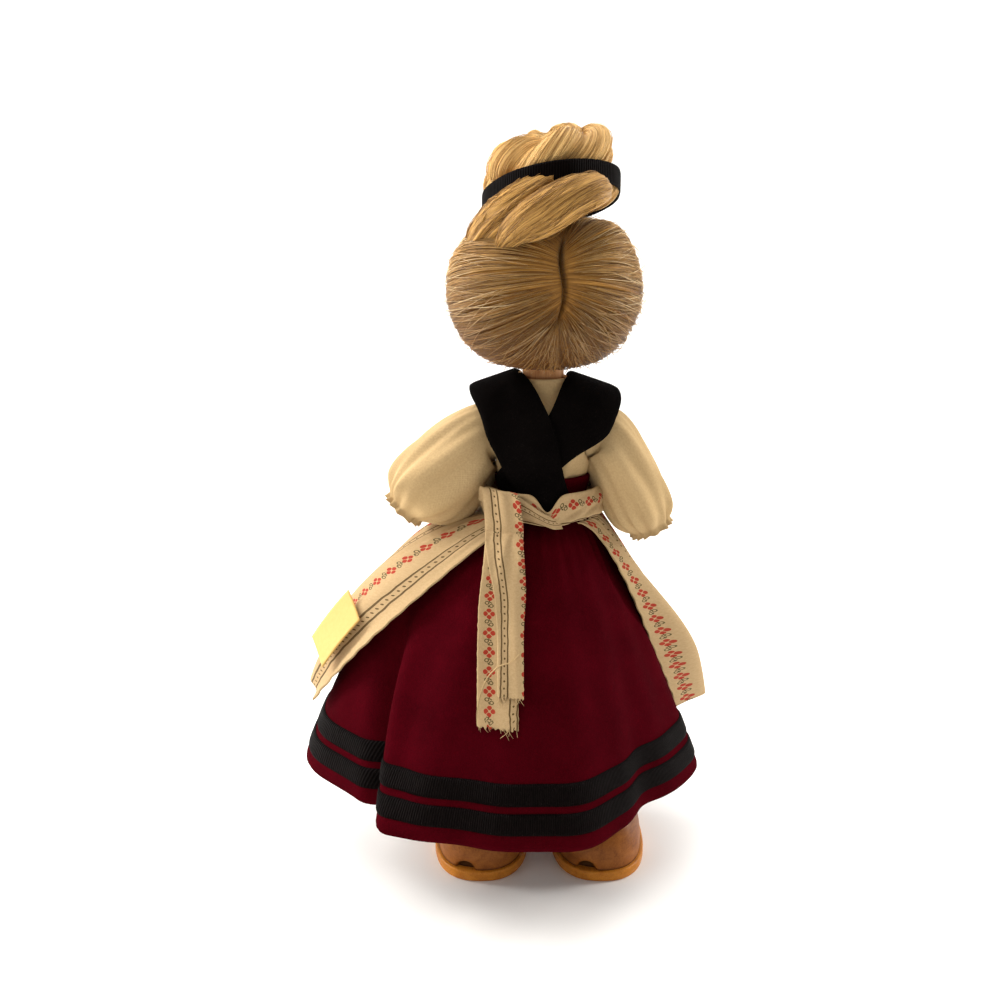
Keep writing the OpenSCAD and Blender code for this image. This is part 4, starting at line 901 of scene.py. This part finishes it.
t = np.linspace(0, 1, 90)[:, None]
u = np.linspace(-0.5, 0.5, 30)[None, :]
torn = 0.010 * waves(12 * u, 51, 6, 2, 9) * ease((t - 0.9) / 0.1)
ragged = 0.006 * waves(14 * t, 52, 8, 4, 14)
for name, widths, xs, drop, lift, start in (("long", (9.0, 10.4), (10.6, 11.9), 50.6, 1.3, 3.7),
                                            ("short", (9.8, 6.6), (10.3, 8.7), 43.0, 2.5, -1.9)):
    strip = tail_point(u + ragged * 2 * u, t + torn, widths, xs, drop, lift)
    uv = grid(u * (widths[0] + (widths[1] - widths[0]) * t) + start, -4 - drop * t)
    if name == "short":
        loop, loop_uv = knot_loop()
        strip = strip + (loop[-1:] - strip[:1]) * (1 - ease(t / 0.16))[..., None]
        strip, uv = np.concatenate([loop[:-1], strip]), np.concatenate([loop_uv[:-1], uv])
    tail = lay("sash_tail_" + name + "_cloth", strip, printed_cotton, uv, thick=0.45, inside=(0, 0, 70))
    chance = np.random.default_rng(53 + len(name))
    n = 18
    across = chance.uniform(-0.48, 0.48, (n, 1))
    root = tail_point(across, np.full((n, 1), 0.985), widths, xs, drop, lift - 0.2)
    run = np.linspace(0, 1, 9)[None, :, None]
    lean = chance.normal(0, 0.4, (n, 1, 3)) * run + 0.4 * chance.normal(0, 1, (n, 1, 3)) * run ** 2
    fringe = root + (lean * [1, 0.5, 0.3] + [0, 0.15, -1] * run) * chance.uniform(0.8, 3.0, (n, 1, 1))
    fray = strands("sash_fray_" + name, fringe, 0.10, cream_cotton, (0, 0, 60))
    for piece in (tail, fray):
        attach(piece, "torso")
    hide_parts("sash_tail_" + name)

run = np.linspace(0, 1, 40)
x = along([6.4, 8.8, 11.6, 14.4, 16.2, 17.0, 17.1], run)
z = along([72.5, 70.4, 69.2, 66.4, 62.4, 58.6, 55.6], run)
angle = np.degrees(np.arctan2(x, 31.0))
r = skirt_r(angle, skirt_t(angle, z)) + 3.3
path = grid(x, r * np.cos(np.radians(angle)), z)[None]
loose = strands("sash_loose_thread", path, 0.22, cream_cotton, (0, 0, 60))
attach(loose, "torso")


# Tag: a blank slip of straw-coloured card, cut by hand and a little bowed. It is laid on the left wing of
# the apron near its free edge, and glued there.
card_len, card_w = 19.0, 11.0
card_mid = np.array([55.3, 1.4, 67.0])
long_way = np.array([0.598, -0.209, -0.774])
cross_way = np.array([-0.357, 0.784, -0.508])
out = np.cross(long_way, cross_way)
card, tree, shader = new_material("straw_card", 0.7, Specular_IOR_Level=0.3)
pulp = mottle(tree, millimetres(tree), 0.9, 6.0, 0.7)
colour_with(tree, shader, blend_paint(tree, pulp, paint(196, 156, 82), paint(216, 178, 104)))
bump(tree, shader, pulp, 0.15, 0.0001)
p = np.linspace(-0.5, 0.5, 30)[:, None, None]
q = np.linspace(-0.5, 0.5, 18)[None, :, None]
bow = 2.3 - 0.5 * (2 * p) ** 2 + 0.2 * (2 * q) ** 2
slip = card_mid + card_len * p * long_way + (card_w * q + 0.6 * p) * cross_way + bow * out
uv = grid(card_len * p[..., 0], card_w * q[..., 0])
tag = lay("card_tag", slip, card, uv, thick=0.4, inside=(0, 0, 70))
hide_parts("paper_tag")
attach(tag, "torso")


# Sleeves: full puffs of the blouse's cotton, set into the armholes, gathered on a thread at the elbow and
# left as a frill below it, from which the carved forearm comes out at the front.
arm_x, armhole_x, head_drop, frill_len = 16.35, 11.05, 0.68, 4.5
head_half, elbow_half, puff_half = 7.4, 5.4, 11.5
sleeve_round, sleeve_run = 66.0, 46.0


def sleeve_cloth(out, drop, wide, sag, seed):
    """A sleeve: rings carried along the upper arm, each an oval with gathers around it and long soft folds.

    Shares along the run say how full the ring is; the gathers are strongest at the drawn thread and frill.
    """
    t = np.linspace(0, 1, 84)[:, None]
    a = np.linspace(0, 2 * np.pi, 150, endpoint=False)[None, :]
    elbow = np.array([arm_x + out, 0, shoulder_z - drop])
    head = np.array([arm_x, 0, shoulder_z - head_drop])
    half = (head + elbow) / 2 + [out * 0.06, 0, 0]
    keys = [[armhole_x, 0, shoulder_z], head, half, elbow, elbow + unit(elbow - half) * frill_len]
    middle = along(keys, t[:, 0])
    way = unit(along(keys, t[:, 0] + 0.04) - along(keys, t[:, 0] - 0.04))
    way = unit(np.array([1.0, 0, 0]) + (way - [1.0, 0, 0]) * ease((t - 0.1) / 0.2))
    rise = np.cross(way, [0, 1.0, 0])
    base = head_half + (elbow_half - head_half) * ease((t - 0.3) / 0.45)
    full = along([0, 0, 0.06, 0.25, 0.5, 0.78, 0.97, 1.06, 1.1, 1.04, 0.84, 0.45, 0.1, 0.06, 0.1], t)
    drawn = along([0, 0, 0, 0.1, 0.2, 0.2, 0.2, 0.2, 0.25, 0.4, 0.7, 0.9, 0.5, 0.7, 0.9], t)
    inner = sag * along([0, 0, 0, 0.2, 0.45, 0.7, 0.9, 1, 1, 0.9, 0.6, 0.2, 0, 0, 0], t)
    gather = 0.8 * drawn * np.cos(13 * a + 1.5 * np.sin(3 * a + seed))
    soft = 0.7 * full * waves(a + 1.1 * t, seed, 6, 3, 8)
    w = (base + (wide - base) * full) * (1 + inner * np.maximum(0, -np.cos(a))) + gather + soft
    d = base + (puff_half - base) * full + gather + soft
    points = middle[:, None] + rise[:, None] * (w * np.cos(a))[..., None] + grid(0.0, d * np.sin(a), 0.0)
    return points, grid(np.linspace(0, sleeve_round, 151)[None, :], sleeve_run * t)


for side, out, drop, wide, sag, mirror, seed in (("left", 18.2, 18.0, 9.8, 0.4, 1, 61),
                                                 ("right", 11.6, 22.6, 8.0, 0.2, -1, 62)):
    points, uv = sleeve_cloth(out, drop, wide, sag, seed)
    puff = lay("sleeve_puff_" + side, points * [mirror, 1, 1], cream_cotton, uv, wrap=True, thick=0.4)
    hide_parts("sleeve_" + side)
    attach(puff, "arm_" + side)


# Wig: long straight fibre glued to the head around the face and nape, combed back from every side to one
# crease behind the crown and pulled into it, so that it bulges in two smooth lobes.
strand, put_in, put_out = new_group(
    "hair_strands",
    [("Vector", "Vector", None), ("Pale", "Color", None), ("Dark", "Color", None)],
    [("Color", "Color"), ("Height", "Float")])
fine = mottle(strand, stretch(strand, put_in.outputs["Vector"], (2.6, 0.06, 1)), 1.0, 4.0, 0.7)
locks = mottle(strand, stretch(strand, put_in.outputs["Vector"], (0.7, 0.03, 1)), 1.0, 2.0)
tone = calc(strand, "MULTIPLY_ADD", fine, 0.7, calc(strand, "MULTIPLY", locks, 0.3))
streaks = blend_paint(strand, ramp(strand, tone, 0.40, 0.61), put_in.outputs["Dark"], put_in.outputs["Pale"])
strand.links.new(streaks, put_out.inputs["Color"])
strand.links.new(calc(strand, "ADD", fine, locks), put_out.inputs["Height"])
wig_round, wig_run, nape_z = 150.0, 42.0, 143.0


def fibre(name, pale, dark, low, low_z, crease=0.0):
    """Combed hair: streaks along the strands, painted shade towards a low level and painted shade down in a
    crease.

    The crease is where the strands begin; it is darkest for strands that leave it sideways.
    """
    material, tree, shader = new_material(
        name, 0.42, Specular_IOR_Level=0.1, Sheen_Weight=0.15, Sheen_Roughness=0.25,
        Sheen_Tint=paint(246, 240, 222))
    lines = use(tree, strand, {"Vector": cloth_place(tree), "Pale": pale, "Dark": dark})
    up = put(tree, "SeparateXYZ", inputs=[millimetres(tree)]).outputs["Z"]
    # Painted shade: the hair is darker towards the low level, under the bulge of the hair.
    shade = ramp(tree, up, low_z - 6, low_z + 27, 1.0, 0.0, "SMOOTHSTEP")
    colour = blend_paint(tree, shade, lines.outputs["Color"], low)
    # Painted shade down in the crease where the strands begin.
    if crease:
        place = put(tree, "SeparateXYZ", inputs=[cloth_place(tree)])
        crease_shade = ramp(tree, place.outputs["Y"], 0.1, 1.2, crease, 0.0, "SMOOTHSTEP")
        turn = calc(tree, "MULTIPLY", place.outputs["X"], 2 * np.pi / wig_round)
        sideways = calc(tree, "ABSOLUTE", calc(tree, "SINE", turn))
        upwards = calc(tree, "MULTIPLY_ADD", calc(tree, "COSINE", turn), 0.6, 0.55)
        leave = calc(tree, "MULTIPLY", sideways, calc(tree, "MAXIMUM", 0.0, upwards))
        colour = blend_paint(tree, calc(tree, "MULTIPLY", crease_shade, leave), colour, paint(44, 26, 10))
    colour_with(tree, shader, colour)
    bump(tree, shader, lines.outputs["Height"], 0.7, 0.0005)
    return material


wig_hair = fibre("combed_hair", paint(184, 134, 66), paint(76, 45, 14), paint(80, 40, 4), nape_z, 0.75)
loose_hair = fibre("loose_hair", paint(208, 164, 98), paint(110, 74, 32), paint(98, 58, 18), nape_z)
crease_angle, crease_lift, crease_half, crease_slant, crease_wave = -10.0, 12.0, 25.0, 0.13, 2.2
hair_low, hair_top, hair_full, hair_least, crown_gap, crown_lift = -64.0, 78.0, 6.3, 1.3, 1.9, 20.0
lobe_angle, lobe_lift, lobe_more = -46.0, 36.0, 3.6
low_angles = [-64, -62, -56, -48, -26, 14, 34, 40, 34, 14, -26, -48, -56, -62]
fall_shares = [0.5, 0.74, 0.92, 1, 1, 0.92, 0.66, 0.3, 0.1]
ring_shares = [0.9, 0.97, 1, 1, 0.84, 0.5, 0.42, 0.4, 0.42, 0.5, 0.84, 1, 1, 0.97]
head_mid = np.array([0, 0, head_z])


def wig_r(angle, lift):
    """Distance of the hair from the head's centre: a fullness by height times one by side, flat on top.

    The lobe on the doll's right bulges once more near its top.
    """
    t = (lift - hair_low) / (hair_top - hair_low)
    full = head_r + np.maximum(hair_least, hair_full * along(fall_shares, t) * around(ring_shares, angle))
    roof = (head_r + crown_gap) / np.sin(np.radians(np.maximum(lift, crown_lift)))
    turn = (angle + 180) % 360 - 180
    lobe = lobe_more * np.exp(-((turn - lobe_angle) / 24) ** 2 - ((lift - lobe_lift) / 13) ** 2)
    return np.where(lift > crown_lift, np.minimum(full, roof), full) + lobe


def toward(angle, lift):
    """The direction at an angle from the back and a lift above the level of the head's centre."""
    a, b = np.radians(angle), np.radians(lift)
    return grid(np.cos(b) * np.sin(a), np.cos(b) * np.cos(a), np.sin(b))


def bearing(d):
    """The angle from the back and the lift of a direction, in degrees: toward the other way round."""
    return np.degrees(np.arctan2(d[..., 0], d[..., 1])), np.degrees(np.arcsin(np.clip(d[..., 2], -1, 1)))


def comb_way(phi, theta):
    """A strand's direction from the head's centre: from its root on the crease it follows a great circle.

    phi is the way it leaves the crease, 0 upwards and 90 to the doll's left; strands that leave upwards
    start at the top of the crease and those that leave downwards at its foot. theta is how far it has gone.
    """
    above = crease_half * np.cos(np.radians(phi))
    lift = crease_lift + above
    angle = crease_angle - crease_slant * above + crease_wave * np.sin(np.radians(7.2 * above))
    start, up = toward(angle, lift), toward(angle, lift + 90)
    side = np.cross(start, up)
    side = side * np.sign(side[..., :1] + 1e-9)
    p, t = np.radians(phi)[..., None], np.radians(theta)[..., None]
    return start * np.cos(t) + (up * np.cos(p) + side * np.sin(p)) * np.sin(t)


def comb_end(phi):
    """How far each strand runs until it meets the hair line around the face and nape."""
    theta = np.linspace(20, 170, 301)
    angle, lift = bearing(comb_way(phi[:, None] + 0 * theta, theta + 0 * phi[:, None]))
    bare = lift < around(low_angles, angle)
    return theta[np.where(bare.any(1), bare.argmax(1), len(theta) - 1)]


turns = np.linspace(0, 360, 721)
soften = np.hanning(31) / np.hanning(31).sum()
ends = np.convolve(np.pad(comb_end(turns[:-1]), 40, mode="wrap"), soften, "same")[40:-40]


def comb_point(phi, share, off):
    """A point on the combed hair at a share of its strand's run, moved out by off, less at the crease."""
    theta = share * np.interp(np.mod(phi, 360), turns, np.append(ends, ends[0]))
    d = comb_way(phi, theta)
    side = np.abs(np.sin(np.radians(phi)))
    crease = (0.3 + 2.4 * side) * np.exp(-(theta / 1.7) ** 2) + 1.2 * np.exp(-(theta / 9.0) ** 2)
    return head_mid + d * (wig_r(*bearing(d)) - crease + off)[..., None]


phi = np.linspace(0, 360, 720, endpoint=False)[None, :]
share = np.concatenate([np.linspace(0, 0.12, 16)[:-1], np.linspace(0.12, 1.0, 54)])[:, None]
clump = 0.26 * waves(np.radians(phi) + 0.05 * share, 71, 14, 30, 70)
clump = clump + 0.14 * waves(np.radians(phi), 72, 20, 80, 150)
grown = comb_point(phi + 0 * share, share + 0 * phi, clump * ease(share / 0.3))
rim = grown[-1:] - head_mid
length = np.linalg.norm(rim, axis=-1, keepdims=True)
tucked = [head_mid + rim / length * (length - k * (length - head_r + 0.3)) for k in (0.12, 0.45, 0.8, 1.0)]
grown = np.concatenate([grown, *tucked])
down = np.append(share * wig_run, wig_run + np.array([0.5, 2.0, 3.5, 4.0]))[:, None]
uv = grid(np.linspace(0, wig_round, 721)[None, :], down)
wig = lay("combed_wig", grown, wig_hair, uv, wrap=True, weld=True)
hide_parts("wig")

# Combed strands that lie close on the mass, stray ones that lift off it, and short ones below the nape.
chance = np.random.default_rng(81)
steps = np.linspace(0, 1, 14)[None, :]
n = 2200
root = chance.uniform(0, 360, (n, 1))
begin = chance.uniform(0.05, 0.6, (n, 1))
run = begin + (np.minimum(begin + chance.uniform(0.25, 0.9, (n, 1)), 1.0) - begin) * steps
sway = root + chance.normal(0, 2.5, (n, 1)) * (run - begin) + 0.4 * np.sin(6 * run + root)
off = 0.22 + 0.22 * np.abs(chance.normal(0, 1, (n, 1))) * np.sin(np.pi * steps) ** 2
hairs = comb_point(sway, run, off)
combed = strands("wig_strands", hairs, chance.uniform(0.07, 0.15, n), loose_hair, head_mid)

n = 420
# Painted light: the stray hairs are painted much paler than the wig, a painted glow of light shining through
# them.
backlit_stray_hair = fibre("backlit_stray_hair", paint(244, 220, 176), paint(186, 146, 92), paint(150, 106, 54), nape_z - 1)
root = chance.uniform(0, 360, (n, 1))
run = np.minimum(steps * chance.uniform(0.25, 0.5, (n, 1)) + chance.uniform(0.15, 0.62, (n, 1)), 1.06)
sway = root + chance.normal(0, 22, (n, 1)) * (run - run[:, :1])
off = 0.35 + chance.uniform(0.3, 1.7, (n, 1)) * steps ** 2
hairs = comb_point(sway, run, off)
stray = strands("wig_stray_hairs", hairs, chance.uniform(0.07, 0.12, n), backlit_stray_hair, head_mid)

n = 260
root = 180 + chance.normal(0, 34, (n, 1))
run = chance.uniform(0.8, 0.94, (n, 1)) + chance.uniform(0.06, 0.2, (n, 1)) * steps
sway = root + chance.normal(0, 30, (n, 1)) * (run - run[:, :1])
off = 0.1 - 1.6 * np.maximum(run - 1.0, 0) / 0.1 + chance.uniform(0, 0.5, (n, 1)) * steps
hairs = comb_point(sway, run, off)
nape = strands("wig_nape_hairs", hairs, chance.uniform(0.06, 0.10, n), wig_hair, head_mid)

for piece in (wig, combed, stray, nape):
    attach(piece, "head")


# Bun: the pulled hair is twisted into ropes of two locks, coiled on the crown in two turns, one above the
# other, with a smaller turn tucked into the middle. Two thick locks sweep up to it from the doll's left.
bun_mid, bun_z = -1.6, 179.43
rope_apart, rope_own = 0.38, 0.70


def rope_point(keys, thick, pitch, phase, apart, own, t, ring):
    """A point on one lock of a rope, at a share t of its run and an angle around the lock.

    The lock's middle winds about the rope's middle line, apart times the half thickness away from it, once
    for each pitch of length; its round section has own times that radius and shallow ridges between strands.
    """
    fine_t = np.linspace(0, 1, 200)
    length = np.append(0, np.cumsum(np.linalg.norm(np.diff(along(keys, fine_t), axis=0), axis=1)))
    run = np.interp(t, fine_t, length)
    way = unit(along(keys, np.minimum(t + 0.004, 1)) - along(keys, np.maximum(t - 0.004, 0)))
    side = unit(np.cross(way, [0, 0, 1.0]))
    over = np.cross(side, way)
    size = along(thick, t)
    seed = int(10 * phase)
    ridges = 1 + 0.04 * waves(ring, seed + 5, 8, 6, 14) + 0.025 * waves(ring, seed + 6, 8, 15, 30)
    spin = 2 * np.pi * run / pitch + phase
    wind, out = (side * np.cos(turn)[..., None] + over * np.sin(turn)[..., None]
                 for turn in (spin, ring + spin))
    hub = along(keys, t) + wind * (apart * size)[..., None]
    return hub, hub + out * (own * size * ridges)[..., None], run


def hair_lock(name, keys, thick, pitch, phase, apart, own, samples, material):
    """Lays one lock and the loose hairs along it."""
    t = np.linspace(0, 1, samples)[:, None]
    ring = np.linspace(0, 2 * np.pi, 60, endpoint=False)[None, :]
    hub, points, run = rope_point(keys, thick, pitch, phase, apart, own, t + 0 * ring, ring + 0 * t)
    points = np.concatenate([hub[:1], points, hub[-1:]])
    run = np.concatenate([run[:1, :1], run[:, :1], run[-1:, :1]])
    uv = grid(np.linspace(0, 30, 61)[None, :] + 40 * phase, run)
    lock = lay(name, points, material, uv, wrap=True, weld=True)
    chance = np.random.default_rng(samples + int(10 * phase))
    n = 240
    steps = np.linspace(0, 1, 16)[None, :]
    begin = chance.uniform(0, 0.75, (n, 1))
    t = begin + chance.uniform(0.1, 0.25, (n, 1)) * steps
    ring = chance.uniform(0, 2 * np.pi, (n, 1)) + chance.normal(0, 0.3, (n, 1)) * (t - begin) / 0.2
    lift = 1.015 + 0.05 * np.abs(chance.normal(0, 1, (n, 1))) * np.sin(np.pi * steps) ** 2
    hub, skin = rope_point(keys, thick, pitch, phase, apart, own, t, ring)[:2]
    paths = hub + (skin - hub) * lift[..., None]
    hairs = strands(name + "_hairs", paths, chance.uniform(0.05, 0.10, n), material, (bun_mid, 0, bun_z + 6))
    for piece in (lock, hairs):
        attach(piece, "head")
    return lock


def coil_keys(radius, height, start, turn, lean=0.06):
    """Points of one turn of the coil about the bun's middle, higher to the doll's right by the lean."""
    a = np.radians(start + np.linspace(0, turn, 36))
    x = radius * np.sin(a)
    return grid(bun_mid + x, radius * np.cos(a), bun_z + height - lean * x)


# Painted light: the bun is the wig's own hair painted much paler, a painted highlight for the light on the
# crown, with painted shade towards its lower coils.
lit_bun_hair = fibre("lit_bun_hair", paint(255, 214, 142), paint(160, 114, 58), paint(120, 78, 32), 158.0)
coils = (("lower", coil_keys(10.9, 5.4, 170, 380), [4.6, 5.7, 5.7, 5.7, 4.6], 22.8, 230),
         ("upper", coil_keys(10.5, 12.6, 200, 385, 0.21), [4.2, 5.4, 5.5, 5.5, 4.2], 22.0, 220),
         ("top", coil_keys(4.2, 16.0, 60, 330, 0.2), [3.0, 3.9, 3.9, 3.4, 2.0], 20.0, 110))
for name, keys, thick, pitch, samples in coils:
    for k, phase in enumerate((0.5, 0.5 + np.pi)):
        lock = hair_lock("bun_%s_%d" % (name, k + 1), keys, thick, pitch, phase,
                         rope_apart, rope_own, samples, lit_bun_hair)
        if (name, k) == ("lower", 0):
            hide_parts("hair_bun")

lock_hair = fibre("lock_hair", paint(212, 164, 92), paint(96, 62, 24), paint(90, 50, 12), nape_z - 1)
front = [[12.8, 12.4, 168.4], [10.8, 15.8, 171.0], [7.2, 18.8, 174.8], [1.6, 20.8, 178.2],
         [-5.0, 20.2, 181.8], [-10.6, 17.0, 183.8], [-13.0, 11.5, 183.8]]
front_thick = [0.5, 2.1, 3.9, 5.0, 4.8, 4.2, 3.0]
lock = hair_lock("twist_front", front, front_thick, 120.0, 0.9, 0.0, 1.0, 130, lock_hair)
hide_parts("hair_twist")
rise = [[18.6, 2.0, 171.0], [14.8, 9.5, 174.6], [10.2, 14.0, 178.4], [4.6, 15.2, 182.2],
        [-3.0, 13.2, 186.0], [-9.0, 9.0, 188.5]]
rise_thick = [2.0, 4.0, 4.8, 4.6, 3.6, 2.4]
hair_lock("twist_left", rise, rise_thick, 110.0, 1.7, 0.0, 1.0, 120, lock_hair)


# Hair ribbon: the same corded black ribbon as on the hem, tied once around the bun. It leans down to the
# front and to the doll's left.
tie_r, tie_z, tie_half, tie_round = 17.45, 3.4, 2.5, 108.0
a = np.radians(np.linspace(0, 360, 240, endpoint=False))[None, :]
v = np.linspace(-1, 1, 11)[:, None]
r = tie_r + 0.12 * waves(a, 91, 5, 3, 8) - 0.15 * v ** 8
tilt = 5.4 * np.cos(a) - 2.4 * np.sin(a)
loop = grid(bun_mid + r * np.sin(a), r * np.cos(a), bun_z + tie_z + tilt + tie_half * v)
uv = grid(np.linspace(0, tie_round, 241)[None, :], tie_half * v)
tie = lay("hair_ribbon_corded", loop, black_ribbon, uv, wrap=True, thick=0.4)
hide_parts("hair_ribbon")
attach(tie, "head")
